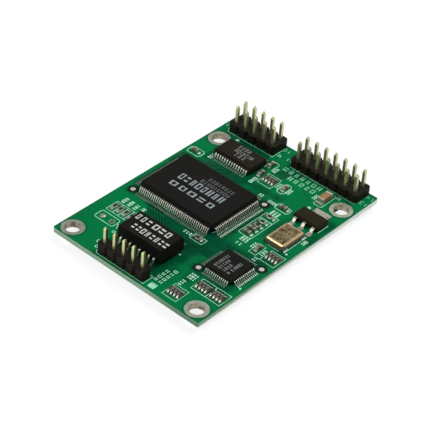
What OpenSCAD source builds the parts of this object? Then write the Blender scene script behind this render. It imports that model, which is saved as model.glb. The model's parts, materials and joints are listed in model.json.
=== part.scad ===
// Network server module: a small four-hole circuit board that carries gull-wing chips, a network
// transformer, an oscillator, chip resistors and capacitors, and three square-pin headers.
// X runs along the board's short edge, Y along its long edge and Z up from its component side.
// Every place on the board is measured from its near left corner, at the component side.

/* [Board] */
// Board thickness (mm)
board_t = 1.2; // [0.8:0.1:2]
// Radius of the routed board corners (mm)
board_corner_r = 0.4; // [0.2:0.1:1]

/* [Mounting holes] */
// Finished hole diameter, for an M3 screw (mm)
hole_d = 3.2; // [2.4:0.1:3.4]
// Diameter of the plated pad around each hole (mm)
hole_pad_d = 5.0; // [4.4:0.1:5.2]
// Hole centres from the left and right board edges (mm)
hole_inset_x = 2.85; // [2.7:0.05:3.2]
// Near hole centres from the near board edge (mm)
hole_inset_y = 2.7; // [2.65:0.05:3.2]
// Gap between a far hole's pad and the double headers (mm)
hole_header_gap = 1.12; // [0.6:0.01:1.6]
// Thickness of the plating and of every bare pad (mm)
plating_t = 0.05; // [0.03:0.01:0.1]

/* [Pin headers] */
// Pin pitch along and across a header (mm)
pin_pitch = 2.54; // [2.4:0.01:2.6]
// Pin width across its flats (mm)
pin_w = 0.64; // [0.5:0.01:0.66]
// Pin length above the housing of both double headers (mm)
pin_above = 4.3; // [3.5:0.1:8]
// Pin length above the housing of the network header (mm)
network_pin_above = 3.8; // [3:0.1:8]
// Pin tail below the board (mm)
pin_tail = 1.4; // [1.2:0.1:3]
// Length of the tapered pin ends (mm)
pin_taper = 0.4; // [0.2:0.05:0.6]
// Housing height of both double headers (mm)
housing_h = 2; // [1.5:0.1:3]
// Housing height of the network header (mm)
network_housing_h = 2.4; // [1.5:0.1:3]
// Housing width of one row of pins (mm)
housing_row = 2.48; // [2.2:0.02:2.5]
// Notch between two housing cells (mm)
housing_notch = 0.45; // [0.2:0.05:0.6]
// Drilled hole for a pin (mm)
pin_hole_d = 1.02; // [0.98:0.02:1.2]
// Diameter of the solder pad around a pin tail (mm)
pin_pad_d = 1.7; // [1.5:0.05:1.9]
// Height of the solder cone on a pin tail (mm)
pin_solder_h = 0.8; // [0.5:0.05:1.1]
// Pins along the left double header
left_pins = 5; // [2:1:5]
// Pins along the right double header
right_pins = 7; // [2:1:7]
// Pins along the single network header
network_pins = 5; // [2:1:5]
// First pin of the left header from the left edge (mm)
left_header_x = 3.3; // [2.6:0.05:4]
// Last pin of the right header from the right edge (mm)
right_header_x = 3.36; // [2.6:0.05:3.8]
// Back pin row of both double headers from the far edge (mm)
header_back_y = 1.3; // [1.3:0.05:1.6]
// First pin of the network header beyond the transformer's left end (mm)
network_header_x = 1.45; // [1.4:0.05:2.4]
// Network header from the near edge (mm)
network_header_y = 2; // [1.4:0.05:2.6]

/* [Layout along X] */
// Left board edge to the processor body (mm)
processor_left = 3.4; // [3.3:0.05:4.4]
// Processor leads to the column of chip parts (mm)
stack_gap = 2.15; // [1.6:0.05:3]
// Column of chip parts to the oscillator (mm)
oscillator_gap = 3.05; // [2.6:0.05:4]
// Oscillator to the right board edge (mm)
oscillator_margin = 2.4; // [2.2:0.05:3.2]
// Regulator body to the right board edge (mm)
regulator_margin = 1.5; // [0.8:0.05:1.8]
// Network chip leads to the right board edge (mm)
netchip_margin = 1.8; // [1.2:0.05:2.2]
// Left board edge to the transformer body (mm)
transformer_left = 11.15; // [10.8:0.05:11.6]
// Near hole pads to the line driver body, along X (mm)
driver_gap = 0.45; // [0.3:0.05:1.2]

/* [Layout along Y] */
// Network header to the transformer leads (mm)
transformer_gap = 1.91; // [1.6:0.01:3]
// Transformer leads to the processor leads (mm)
processor_gap = 4.75; // [4.2:0.05:6]
// Processor leads to the line driver leads (mm)
driver_row_gap = 3.2; // [2.6:0.05:4]
// Line driver leads to the left header (mm)
header_gap = 2.12; // [1.9:0.01:3.5]
// Hole pads to the lower pair of resistor arrays (mm)
array_row_gap = 2.2; // [1.8:0.05:2.6]
// Resistor arrays to the network chip leads (mm)
netchip_gap = 2.4; // [1.6:0.05:2.6]
// Reservoir capacitor to the right header (mm)
reservoir_gap = 1.92; // [1.6:0.01:2.2]
// Regulator tab to the reservoir capacitor (mm)
regulator_gap = 2.6; // [2.4:0.05:3]

/* [Processor] */
// Processor body along X (mm)
processor_w = 20; // [18:0.5:20]
// Processor body along Y (mm)
processor_l = 14; // [12:0.5:14]
// Processor top above the board (mm)
processor_top = 2.3; // [2.1:0.05:3.2]
// Gap under the processor body (mm)
processor_standoff = 0.25; // [0.15:0.05:0.45]
// Lead pitch of both fine-pitch chips (mm)
fine_pitch = 0.5; // [0.5:0.05:0.65]
// Lead width of both fine-pitch chips (mm)
fine_lead_w = 0.22; // [0.15:0.01:0.26]
// Reach of a processor lead beyond the body (mm)
processor_reach = 1.6; // [1.4:0.05:1.8]

/* [Network chip] */
// Square body size (mm)
netchip_w = 7; // [6:0.5:7]
// Network chip top above the board (mm)
netchip_top = 1.25; // [1.2:0.05:1.6]
// Reach of a network chip lead beyond the body (mm)
netchip_reach = 1.0; // [0.9:0.05:1.1]

/* [Line driver chip] */
// Line driver body along X (mm)
driver_w = 10.2; // [8.9:0.1:10.4]
// Line driver body along Y (mm)
driver_l = 5.3; // [4.8:0.1:5.6]
// Line driver top above the board (mm)
driver_top = 1.75; // [1.5:0.05:2]
// Lead pitch of the line driver (mm)
driver_pitch = 0.65; // [0.65:0.05:1]
// Reach of a line driver lead beyond the body (mm)
driver_reach = 1.25; // [1.1:0.05:1.4]

/* [Transformer] */
// Transformer body along X (mm)
transformer_w = 12.1; // [11.9:0.1:12.8]
// Transformer body along Y (mm)
transformer_l = 6.9; // [6.2:0.1:7.2]
// Transformer top above the board (mm)
transformer_top = 3.8; // [3.6:0.1:5.6]
// Height of the transformer's moulding seam above the board (mm)
transformer_seam = 1.4; // [1.2:0.05:1.8]
// Lead pitch of the transformer (mm)
transformer_pitch = 1.27; // [1.2:0.01:1.4]
// Reach of a transformer lead beyond the body (mm)
transformer_reach = 1.4; // [1.2:0.05:1.6]

/* [Regulator] */
// Regulator body along X (mm)
regulator_w = 6.5; // [6.2:0.05:6.7]
// Regulator body along Y (mm)
regulator_l = 3.5; // [3.3:0.05:3.7]
// Regulator top above the board (mm)
regulator_top = 1.6; // [1.4:0.05:1.8]
// Lead pitch of the regulator (mm)
regulator_pitch = 2.3; // [2.2:0.05:2.4]
// Width of the regulator's cooling tab (mm)
regulator_tab_w = 3; // [2.8:0.05:3.2]
// Reach of the regulator leads and tab beyond the body (mm)
regulator_reach = 1.75; // [1.6:0.05:1.9]

/* [Oscillator] */
// Oscillator base along X (mm)
oscillator_w = 5; // [4.6:0.1:5.4]
// Oscillator base along Y (mm)
oscillator_l = 7; // [6.6:0.1:7.4]
// Height of the ceramic base (mm)
oscillator_base_h = 0.75; // [0.6:0.05:1.2]
// Thickness of the metal lid (mm)
oscillator_lid_t = 0.4; // [0.3:0.05:0.8]
// Border of the base around the lid (mm)
oscillator_border = 0.2; // [0.1:0.05:0.4]

/* [Chip parts] */
// Length of a small chip resistor or capacitor (mm)
chip_l = 1.6; // [1.4:0.05:1.7]
// Width of a small chip resistor or capacitor (mm)
chip_w = 0.8; // [0.7:0.05:0.9]
// Height of a chip resistor or resistor array (mm)
resistor_h = 0.45; // [0.35:0.05:0.6]
// Height of a small chip capacitor (mm)
capacitor_h = 0.7; // [0.6:0.05:0.85]
// Resistor array along X (mm)
array_w = 3.2; // [3.2:0.05:3.4]
// Resistor array along Y (mm)
array_l = 1.6; // [1.4:0.05:1.8]
// Pitch of the elements in a resistor array (mm)
array_pitch = 0.8; // [0.76:0.01:0.82]
// Reservoir capacitor along X (mm)
reservoir_w = 1.6; // [1.4:0.05:1.8]
// Reservoir capacitor along Y (mm)
reservoir_l = 3.2; // [3:0.05:3.4]
// Reservoir capacitor height (mm)
reservoir_h = 1.15; // [0.9:0.05:1.6]

/* [Test and spare pads] */
// Diameter of a round alignment target (mm)
target_d = 1.1; // [0.9:0.05:1.3]
// Pad diameter of the spare two-hole place (mm)
spare_pad_d = 1.3; // [1.1:0.05:1.5]
// Hole diameter of the spare two-hole place (mm)
spare_hole_d = 0.75; // [0.5:0.05:0.9]

/* [Hidden] */
// clearance of a part that is soldered or pressed in place
fit = 0.01;
// solder and pad under every foot
pad_t = plating_t;
// metal wrapped round a chip part's ends
wrap_t = 0.04;
// moulding seam, as thick as the leads that leave it
seam_h = 0.16;
// free length of a moulded side without leads, at each end
side_margin = 0.7;
transformer_margin = 1.5;
pin_top = housing_h + pin_above;
network_pin_top = network_housing_h + network_pin_above;

// the layout is a chain of parts and gaps, from the left edge to the right and from the near edge up
processor_at = [processor_left + processor_w / 2,
                transformer_gap + network_header_y + housing_row / 2 + transformer_l + 2 * transformer_reach
                + processor_gap + processor_reach + processor_l / 2];
stack_x = processor_left + processor_w + processor_reach + stack_gap + chip_l / 2;
oscillator_x = stack_x + chip_l / 2 + oscillator_gap + oscillator_w / 2;
board_w = oscillator_x + oscillator_w / 2 + oscillator_margin;
driver_at = [hole_inset_x + hole_pad_d / 2 + driver_gap + driver_w / 2,
             processor_at[1] + processor_l / 2 + processor_reach + driver_row_gap + driver_reach
             + driver_l / 2];
header_front_y = driver_at[1] + driver_l / 2 + driver_reach + header_gap + housing_row / 2;
header_face_y = header_front_y - housing_row / 2;
board_l = header_front_y + pin_pitch + header_back_y;
transformer_at = [transformer_left + transformer_w / 2,
                  network_header_y + housing_row / 2 + transformer_gap + transformer_reach
                  + transformer_l / 2];

hole_spacing_x = board_w - 2 * hole_inset_x;
hole_spacing_y = header_face_y - hole_header_gap - hole_pad_d / 2 - hole_inset_y;
holes_at = [for (i = [0, 1], j = [0, 1])
    [hole_inset_x + i * hole_spacing_x, hole_inset_y + j * hole_spacing_y]];
origin_at = [board_w / 2, hole_inset_y + hole_spacing_y / 2, -board_t];

// gaps between neighbouring chip parts
array_margin = 0.8;
array_gap = 0.5;
upper_array_gap = 1.95;
oscillator_lead_gap = 0.9;
reservoir_side_gap = 1.15;
driver_array_gap = 2.3;
driver_array_drop = 0.85;
corner_array_gap = 1.9;
corner_array_up = 0.55;
array_chip_gap = 2.05;
chip_gap = 0.4;
lone_chip_gap = 2.5;
driver_chip_up = 3.2;
driver_chip_down = 0.6;
corner_chip_left = 3.4;
corner_chip_in = 1.1;
driver_corner_down = 2.1;
corner_chip_down = 1.4;
column_pitch = 1.55;
column_drop = 1.45;
column_middle = 6.9;
column_top = 11.25;
group_gap = 2.4;
group_pitch = 1.58;
target_out = 0.95;
spare_left = 4.4;
spare_drop = 0.4;

// right-hand column, from the near edge up and from the right header down
right_hole_pad_x = board_w - hole_inset_x - hole_pad_d / 2;
array_row_y = hole_inset_y + hole_pad_d / 2 + array_row_gap + array_l / 2;
netchip_at = [board_w - netchip_margin - netchip_reach - netchip_w / 2,
              array_row_y + array_l / 2 + netchip_gap + netchip_reach + netchip_w / 2];
reservoir_at = [right_hole_pad_x - reservoir_side_gap - reservoir_w / 2,
                header_face_y - reservoir_gap - reservoir_l / 2];
regulator_at = [board_w - regulator_margin - regulator_w / 2,
                reservoir_at[1] - reservoir_l / 2 - regulator_gap - regulator_reach - regulator_l / 2];
oscillator_at = [oscillator_x, regulator_at[1] - regulator_l / 2 - regulator_reach - oscillator_lead_gap
                 - oscillator_l / 2];
upper_array_y = oscillator_at[1] - oscillator_l / 2 - upper_array_gap - array_l / 2;

// x, y and turn of each resistor array
array_right_x = board_w - array_margin - array_w / 2;
driver_right = driver_at[0] + driver_w / 2;
driver_array_at = [driver_right + driver_array_gap + array_w / 2, driver_at[1] - driver_array_drop, 0];
arrays_at = [driver_array_at,
             [right_hole_pad_x - corner_array_gap - array_w / 2, hole_inset_y + corner_array_up, 0],
             [array_right_x - array_w - array_gap, array_row_y, 0], [array_right_x, array_row_y, 0],
             [array_right_x, upper_array_y, 0]];
// x, y and turn of each small capacitor and resistor
column_y = processor_at[1] - column_drop;
capacitors_at = [[stack_x, column_y + column_top, 0],
                 [driver_at[0] - driver_w / 2 - corner_chip_left,
                  driver_at[1] - driver_l / 2 - driver_corner_down, 0],
                 [driver_array_at[0] + array_w / 2 + lone_chip_gap, driver_array_at[1], 90],
                 [driver_right + chip_w / 2 + chip_gap, driver_at[1] + driver_chip_up, 90],
                 [driver_right + chip_w / 2 + 2 * chip_gap, driver_at[1] - driver_chip_down, 90],
                 [array_right_x - array_w / 2 - array_chip_gap - chip_w / 2, upper_array_y, 90],
                 [stack_x, column_y + column_pitch, 0], [stack_x, column_y, 0]];
resistors_at = [[stack_x, column_y + column_middle, 0], [stack_x, column_y + 3 * column_pitch, 0],
                [stack_x, column_y + 2 * column_pitch, 0],
                [processor_left + processor_w - corner_chip_in,
                 processor_at[1] - processor_l / 2 - processor_reach - corner_chip_down, 0],
                for (i = [0 : 3]) [transformer_left - group_gap - (3 - i) * group_pitch,
                    transformer_at[1] + transformer_l / 2, 90]];
targets_at = [[processor_left - target_out, processor_at[1] - processor_l / 2 - target_out],
              [processor_left + processor_w + target_out, processor_at[1] + processor_l / 2 + target_out],
              [board_w - 2 * target_out, netchip_at[1] + netchip_w / 2 + target_out],
              [netchip_at[0] - netchip_w / 2 - netchip_reach, netchip_at[1] - netchip_w / 2 - target_d / 2]];
spare_at = [[spare_left, transformer_at[1] - spare_drop],
            [spare_left + pin_pitch, transformer_at[1] - spare_drop]];

// pin places of a header: first pin, number along X, rows along Y
function pin_grid(at, cols, rows) =
    [for (i = [0 : cols - 1], j = [0 : rows - 1]) [at[0] + i * pin_pitch, at[1] + j * pin_pitch]];
left_at = [left_header_x, header_front_y];
right_at = [board_w - right_header_x - (right_pins - 1) * pin_pitch, header_front_y];
network_at = [transformer_left + network_header_x, network_header_y];
left_grid = pin_grid(left_at, left_pins, 2);
right_grid = pin_grid(right_at, right_pins, 2);
network_grid = pin_grid(network_at, network_pins, 1);
all_pins = concat(left_grid, right_grid, network_grid);

// lead: width, thickness, reach beyond the body, foot length, straight run at the body, bend radius
processor_lead = [fine_lead_w, 0.15, processor_reach, 0.7, 0.38, 0.2];
netchip_lead = [fine_lead_w, 0.13, netchip_reach, 0.48, 0.24, 0.15];
driver_lead = [0.3, 0.15, driver_reach, 0.6, 0.28, 0.18];
transformer_lead = [0.46, 0.25, transformer_reach, 0.6, 0.36, 0.25];
regulator_lead = [0.7, 0.26, regulator_reach, 0.8, 0.4, 0.26];
regulator_tab = [regulator_tab_w, 0.26, regulator_reach, 0.8, 0.4, 0.26];
regulator_tab_land = 1.05;

// moulded case: x, y, bottom, top, seam height, draft inset, top edge chamfer, corner cut or radius
netchip_standoff = 0.12;
driver_standoff = 0.12;
regulator_standoff = 0.1;
processor_case = [processor_w, processor_l, processor_standoff, processor_top,
                  (processor_standoff + processor_top) / 2, 0.25, 0.06, 0.45];
netchip_case = [netchip_w, netchip_w, netchip_standoff, netchip_top,
                (netchip_standoff + netchip_top) / 2, 0.12, 0.05, 0.25];
driver_case = [driver_w, driver_l, driver_standoff, driver_top,
               (driver_standoff + driver_top) / 2, 0.18, 0.06, 0.1];
transformer_case = [transformer_w, transformer_l, 0.3, transformer_top, transformer_seam, 0.35, 0.2, 0.5];
regulator_case = [regulator_w, regulator_l, regulator_standoff, regulator_top,
                  (regulator_standoff + regulator_top) / 2, 0.2, 0.08, 0.1];

function unit(v) = v / norm(v);
// points of an arc that rounds corner q between p and s
function bend(p, q, s, r, n = 3) =
    let (a = unit(p - q), b = unit(s - q), half = acos(a * b) / 2,
         c = q + unit(a + b) * r / sin(half),
         from = q + a * r / tan(half) - c, to = q + b * r / tan(half) - c,
         a0 = atan2(from[1], from[0]), turn = atan2(from[0] * to[1] - from[1] * to[0], from * to))
    [for (i = [0 : n]) c + r * [cos(a0 + turn * i / n), sin(a0 + turn * i / n)]];
// outline of a strip of thickness t along a path
function strip(path, t) =
    let (n = len(path),
         side = [for (i = [0 : n - 1])
             let (d = unit(path[min(i + 1, n - 1)] - path[max(i - 1, 0)])) [-d[1], d[0]] * t / 2])
    concat([for (i = [0 : n - 1]) path[i] + side[i]], [for (i = [n - 1 : -1 : 0]) path[i] - side[i]]);
// side view of a gull-wing lead, from the body's side at height z down to its foot on the pad
function gull(lead, z) =
    let (t = lead[1], reach = lead[2], knee = [lead[4], z], heel = [reach - lead[3], pad_t + t / 2],
         start = [fit, z], toe = [reach, pad_t + t / 2])
    strip(concat([start], bend(start, knee, heel, lead[5]), bend(knee, heel, toe, lead[5]), [toe]), t);
// leads that fit on a side of a moulded case
function lead_count(side, pitch, margin) = floor((side - 2 * margin) / pitch + 0.001) + 1;

// the model stands in the frame of its mounting holes, on the underside of the board
module in_frame() { translate(-origin_at) children(); }
module at(places) { for (p = places) translate([p[0], p[1], 0]) rotate(len(p) > 2 ? p[2] : 0) children(); }

// plate with rounded corners, from its own corner
module rounded_plate(w, l, t, r) {
    linear_extrude(t) {
        translate([r, 0]) square([w - 2 * r, l]);
        translate([0, r]) square([w, l - 2 * r]);
        for (x = [r, w - r], y = [r, l - r]) translate([x, y]) circle(r = r, $fn = 32);
    }
}

// side view (along one axis) of a moulded case: width w, then bottom, top, seam, draft, chamfer
function case_side(w, c) =
    let (h = w / 2, lo = c[2], hi = c[3], s = c[4], d = c[5], e = c[6])
    [[-h + d, lo], [h - d, lo], [h, s - seam_h / 2], [h, s + seam_h / 2], [h - d, hi - e], [h - d - e, hi],
     [-h + d + e, hi], [-h + d, hi - e], [-h, s + seam_h / 2], [-h, s - seam_h / 2]];
module case(c, rounded = false) {
    w = c[0];
    l = c[1];
    k = c[7];
    intersection() {
        rotate([90, 0, 0]) linear_extrude(l + 2, center = true) polygon(case_side(w, c));
        rotate([90, 0, 90]) linear_extrude(w + 2, center = true) polygon(case_side(l, c));
        if (rounded) translate([-w / 2, -l / 2, 0]) rounded_plate(w, l, c[3] + 1, k);
        else linear_extrude(c[3] + 1)
            polygon([[-w / 2, -l / 2 + k], [-w / 2 + k, -l / 2], [w / 2 - k, -l / 2], [w / 2, -l / 2 + k],
                     [w / 2, l / 2 - k], [w / 2 - k, l / 2], [-w / 2 + k, l / 2], [-w / 2, l / 2 - k]]);
    }
}
// round moulding mark sunk into a top face
module mark(x, y, top, r, depth) { translate([x, y, top - depth]) cylinder(r = r, h = depth + 1, $fn = 40); }

// leads along the far side of a case of depth l; the row runs along X
module lead_row(n, pitch, l, lead, z) {
    for (i = [0 : n - 1])
        translate([(i - (n - 1) / 2) * pitch, l / 2, 0])
            rotate([90, 0, 90]) linear_extrude(lead[0], center = true) polygon(gull(lead, z));
}
// solder pads under the feet of that row, with a fillet in front of each toe and a land beyond it
module pad_row(n, pitch, l, lead, w, land = 0.4) {
    heel = lead[2] - lead[3] - 0.25;
    toe = lead[2] + fit;
    reach = lead[2] + land;
    for (i = [0 : n - 1])
        translate([(i - (n - 1) / 2) * pitch, l / 2, 0])
            rotate([90, 0, 90]) linear_extrude(w, center = true)
                polygon([[heel, 0], [reach, 0], [reach, pad_t * 0.6], [toe + 0.15, pad_t + 0.03],
                         [toe, pad_t + lead[1] * 0.6], [toe, pad_t], [heel, pad_t]]);
}
// the four or two sides of a chip
module around(sides) { for (a = sides) rotate(a) children(); }
module quad_leads(c, lead, pitch) {
    around([0, 180]) lead_row(lead_count(c[0], pitch, side_margin), pitch, c[1], lead, c[4]);
    around([90, 270]) lead_row(lead_count(c[1], pitch, side_margin), pitch, c[0], lead, c[4]);
}
module quad_pads(c, lead, pitch, w) {
    around([0, 180]) pad_row(lead_count(c[0], pitch, side_margin), pitch, c[1], lead, w);
    around([90, 270]) pad_row(lead_count(c[1], pitch, side_margin), pitch, c[0], lead, w);
}

module board() {
    color("seagreen") in_frame() difference() {
        translate([0, 0, -board_t]) rounded_plate(board_w, board_l, board_t, board_corner_r);
        at(holes_at) translate([0, 0, -board_t - 1])
            cylinder(d = hole_d + 2 * (plating_t + fit), h = board_t + 2, $fn = 64);
        at(all_pins) translate([0, 0, -board_t - 1]) cylinder(d = pin_hole_d, h = board_t + 2, $fn = 32);
        at(spare_at) translate([0, 0, -board_t - 1])
            cylinder(d = spare_hole_d + 2 * (plating_t + fit), h = board_t + 2, $fn = 32);
    }
}

// plated hole: a barrel with a flat ring on both faces of the board
module plated_hole(d, pad_d) {
    r = d / 2;
    p = pad_d / 2;
    rotate_extrude($fn = 64)
        polygon([[r, -board_t - plating_t], [p, -board_t - plating_t], [p, -board_t],
                 [r + plating_t, -board_t], [r + plating_t, 0], [p, 0], [p, plating_t], [r, plating_t]]);
}
module hole_plating() { color("lightgray") in_frame() at(holes_at) plated_hole(hole_d, hole_pad_d); }
module alignment_targets() {
    color("silver") in_frame() at(targets_at) cylinder(d = target_d, h = plating_t, $fn = 48);
}
module spare_pads() {
    color("silver") in_frame() {
        at(spare_at) plated_hole(spare_hole_d, spare_pad_d);
        // one of the two is filled with solder, domed on top
        at([spare_at[0]]) rotate_extrude($fn = 48)
            polygon(concat([[0, -board_t - plating_t]], [[spare_hole_d / 2 - fit, -board_t - plating_t]],
                [[spare_hole_d / 2 - fit, plating_t + fit]],
                [for (a = [0 : 15 : 90]) [(spare_pad_d / 2 - 0.05) * cos(a), plating_t + fit + 0.2 * sin(a)]]));
    }
}

module processor_body() {
    color("dimgray") in_frame() at([processor_at]) difference() {
        case(processor_case);
        mark(processor_w / 2 - 1.5, processor_l / 2 - 1.5, processor_top, 0.55, 0.1);
    }
}
module processor_leads() {
    color("silver") in_frame() at([processor_at]) quad_leads(processor_case, processor_lead, fine_pitch);
}
module processor_pads() {
    color("gainsboro") in_frame() at([processor_at])
        quad_pads(processor_case, processor_lead, fine_pitch, fine_lead_w + 0.06);
}

module netchip_body() {
    color("dimgray") in_frame() at([netchip_at]) difference() {
        case(netchip_case);
        mark(netchip_w / 2 - 1, -netchip_w / 2 + 1, netchip_top, 0.35, 0.08);
    }
}
module netchip_leads() {
    color("silver") in_frame() at([netchip_at]) quad_leads(netchip_case, netchip_lead, fine_pitch);
}
module netchip_pads() {
    color("gainsboro") in_frame() at([netchip_at])
        quad_pads(netchip_case, netchip_lead, fine_pitch, fine_lead_w + 0.06);
}

driver_leads_n = lead_count(driver_w, driver_pitch, side_margin);
module driver_body() {
    color("dimgray") in_frame() at([driver_at]) difference() {
        case(driver_case);
        mark(-driver_w / 2 + 1, driver_l / 2 - 1, driver_top, 0.4, 0.08);
    }
}
module driver_leads() {
    color("silver") in_frame() at([driver_at]) around([0, 180])
        lead_row(driver_leads_n, driver_pitch, driver_l, driver_lead, driver_case[4]);
}
module driver_pads() {
    color("gainsboro") in_frame() at([driver_at]) around([0, 180])
        pad_row(driver_leads_n, driver_pitch, driver_l, driver_lead, driver_lead[0] + 0.06);
}

transformer_leads_n = lead_count(transformer_w, transformer_pitch, transformer_margin);
module transformer_body() {
    color("dimgray") in_frame() at([transformer_at]) difference() {
        case(transformer_case, rounded = true);
        mark(transformer_w / 2 - 1.2, -transformer_l / 2 + 1.4, transformer_top, 0.4, 0.1);
    }
}
module transformer_leads() {
    color("silver") in_frame() at([transformer_at]) around([0, 180])
        lead_row(transformer_leads_n, transformer_pitch, transformer_l, transformer_lead, transformer_seam);
}
module transformer_pads() {
    color("gainsboro") in_frame() at([transformer_at]) around([0, 180])
        pad_row(transformer_leads_n, transformer_pitch, transformer_l, transformer_lead,
            transformer_lead[0] + 0.15);
}

module regulator_body() {
    color("dimgray") in_frame() at([regulator_at]) case(regulator_case);
}
module regulator_leads() {
    color("silver") in_frame() at([regulator_at]) {
        rotate(180) lead_row(3, regulator_pitch, regulator_l, regulator_lead, regulator_case[4]);
        lead_row(1, regulator_pitch, regulator_l, regulator_tab, regulator_case[4]);
    }
}
module regulator_pads() {
    color("gainsboro") in_frame() at([regulator_at]) {
        rotate(180) pad_row(3, regulator_pitch, regulator_l, regulator_lead, regulator_lead[0] + 0.3);
        pad_row(1, regulator_pitch, regulator_l, regulator_tab, regulator_tab_w + 1, regulator_tab_land);
    }
}

// quarter-round contacts run up the corners of the ceramic base
oscillator_groove_r = 0.4;
oscillator_pad_l = 1.4;
module oscillator_corners(r, h) {
    for (x = [-1, 1], y = [-1, 1])
        translate([x * oscillator_w / 2, y * oscillator_l / 2, 0]) cylinder(r = r, h = h, $fn = 32);
}
module oscillator_base() {
    color("slategray") in_frame() at([oscillator_at]) translate([0, 0, pad_t]) difference() {
        translate([-oscillator_w / 2, -oscillator_l / 2, 0])
            cube([oscillator_w, oscillator_l, oscillator_base_h]);
        translate([0, 0, -1]) oscillator_corners(oscillator_groove_r, oscillator_base_h + 2);
    }
}
module oscillator_lid() {
    w = oscillator_w - 2 * oscillator_border;
    l = oscillator_l - 2 * oscillator_border;
    t = oscillator_lid_t;
    b = min(0.25, t / 2);
    color("tan") in_frame() at([oscillator_at]) translate([0, 0, pad_t + oscillator_base_h])
        intersection() {
            translate([-w / 2, -l / 2, 0]) rounded_plate(w, l, t, 0.6);
            rotate([90, 0, 0]) linear_extrude(l + 1, center = true)
                polygon([[-w / 2, 0], [w / 2, 0], [w / 2, t - b], [w / 2 - b, t], [-w / 2 + b, t],
                         [-w / 2, t - b]]);
            rotate([90, 0, 90]) linear_extrude(w + 1, center = true)
                polygon([[-l / 2, 0], [l / 2, 0], [l / 2, t - b], [l / 2 - b, t], [-l / 2 + b, t],
                         [-l / 2, t - b]]);
        }
}
module oscillator_contacts() {
    g = oscillator_groove_r;
    color("gold") in_frame() at([oscillator_at]) {
        intersection() {
            translate([-oscillator_w / 2, -oscillator_l / 2, pad_t])
                cube([oscillator_w, oscillator_l, oscillator_base_h]);
            difference() {
                translate([0, 0, pad_t]) oscillator_corners(g - fit, oscillator_base_h * 0.8);
                translate([0, 0, pad_t - 1]) oscillator_corners(g - fit - 0.1, oscillator_base_h + 2);
            }
        }
        // a pad under each corner, with a fillet that climbs the side of the base
        for (x = [0, 1], y = [-1, 1])
            mirror([x, 0, 0]) translate([oscillator_w / 2, y * (oscillator_l / 2 - oscillator_pad_l / 2), 0])
                rotate([90, 0, 0]) linear_extrude(oscillator_pad_l, center = true)
                    polygon([[-1.1, 0], [0.36, 0], [0.36, pad_t], [0.14, pad_t + 0.12],
                             [fit, pad_t + 0.4], [fit, pad_t], [-1.1, pad_t]]);
    }
}

// chip part: ceramic block with metal wrapped over both ends; it lies along X, its foot on the pads
module chip_block(l, w, h) {
    translate([-l / 2 + wrap_t, -w / 2 + wrap_t, pad_t + wrap_t])
        cube([l - 2 * wrap_t, w - 2 * wrap_t, h - 2 * wrap_t]);
}
module chip_caps(l, w, h, cap) {
    for (a = [0, 180]) rotate(a) difference() {
        translate([l / 2 - cap, -w / 2, pad_t]) cube([cap, w, h]);
        chip_block(l, w, h);
    }
}
// resistive film under its cover coat, between the end caps
module chip_coat(l, w, h, cap) {
    translate([-l / 2 + cap + fit, -w / 2 + wrap_t, pad_t + h - wrap_t])
        cube([l - 2 * (cap + fit), w - 2 * wrap_t, wrap_t]);
}
// solder pads of a chip part, with a fillet that climbs each end
module chip_solder(l, w, h, cap) {
    x = l / 2 + fit;
    for (a = [0, 180]) rotate(a)
        rotate([90, 0, 0]) linear_extrude(w, center = true)
            polygon([[l / 2 - cap - 0.1, 0], [x + 0.45, 0], [x + 0.45, pad_t], [x + 0.2, pad_t + h * 0.14],
                     [x + 0.08, pad_t + h * 0.35], [x, pad_t + h * 0.65], [x, pad_t],
                     [l / 2 - cap - 0.1, pad_t]]);
}
chip_cap = 0.35;
resistor_cap = 0.3;
reservoir_cap = 0.5;
module resistor_bodies() { color("white") in_frame() at(resistors_at) chip_block(chip_l, chip_w, resistor_h); }
module resistor_coats() {
    color("black") in_frame() at(resistors_at) chip_coat(chip_l, chip_w, resistor_h, resistor_cap);
}
module resistor_ends() {
    color("silver") in_frame() at(resistors_at) chip_caps(chip_l, chip_w, resistor_h, resistor_cap);
}
module capacitor_bodies() {
    color("peru") in_frame() at(capacitors_at) chip_block(chip_l, chip_w, capacitor_h);
}
module capacitor_ends() {
    color("silver") in_frame() at(capacitors_at) chip_caps(chip_l, chip_w, capacitor_h, chip_cap);
}
module reservoir_body() {
    color("peru") in_frame() at([reservoir_at]) rotate(90) chip_block(reservoir_l, reservoir_w, reservoir_h);
}
module reservoir_ends() {
    color("silver") in_frame() at([reservoir_at]) rotate(90)
        chip_caps(reservoir_l, reservoir_w, reservoir_h, reservoir_cap);
}
module chip_pads() {
    color("gainsboro") in_frame() {
        at(resistors_at) chip_solder(chip_l, chip_w, resistor_h, resistor_cap);
        at(capacitors_at) chip_solder(chip_l, chip_w, capacitor_h, chip_cap);
        at([reservoir_at]) rotate(90) chip_solder(reservoir_l, reservoir_w, reservoir_h, reservoir_cap);
    }
}

// resistor array: four elements in one block, with scalloped long sides between the terminals
array_terminal_w = 0.42;
array_terminal_l = 0.26;
array_elements = 4;
function array_x(i) = (i - (array_elements - 1) / 2) * array_pitch;
module array_scallops(h) {
    for (i = [0 : array_elements - 2], y = [-1, 1])
        translate([array_x(i + 0.5), y * array_l / 2, pad_t - 1])
            cylinder(d = array_pitch - array_terminal_w - 0.04, h = h + 2, $fn = 24);
}
module array_block() {
    translate([-array_w / 2, -array_l / 2 + wrap_t, pad_t + wrap_t])
        cube([array_w, array_l - 2 * wrap_t, resistor_h - 2 * wrap_t]);
}
module array_bodies() {
    color("white") in_frame() at(arrays_at) difference() {
        array_block();
        array_scallops(resistor_h);
    }
}
module array_coats() {
    l = array_l - 2 * (array_terminal_l + fit);
    color("black") in_frame() at(arrays_at)
        translate([-array_w / 2 + 0.1, -l / 2, pad_t + resistor_h - wrap_t]) cube([array_w - 0.2, l, wrap_t]);
}
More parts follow.
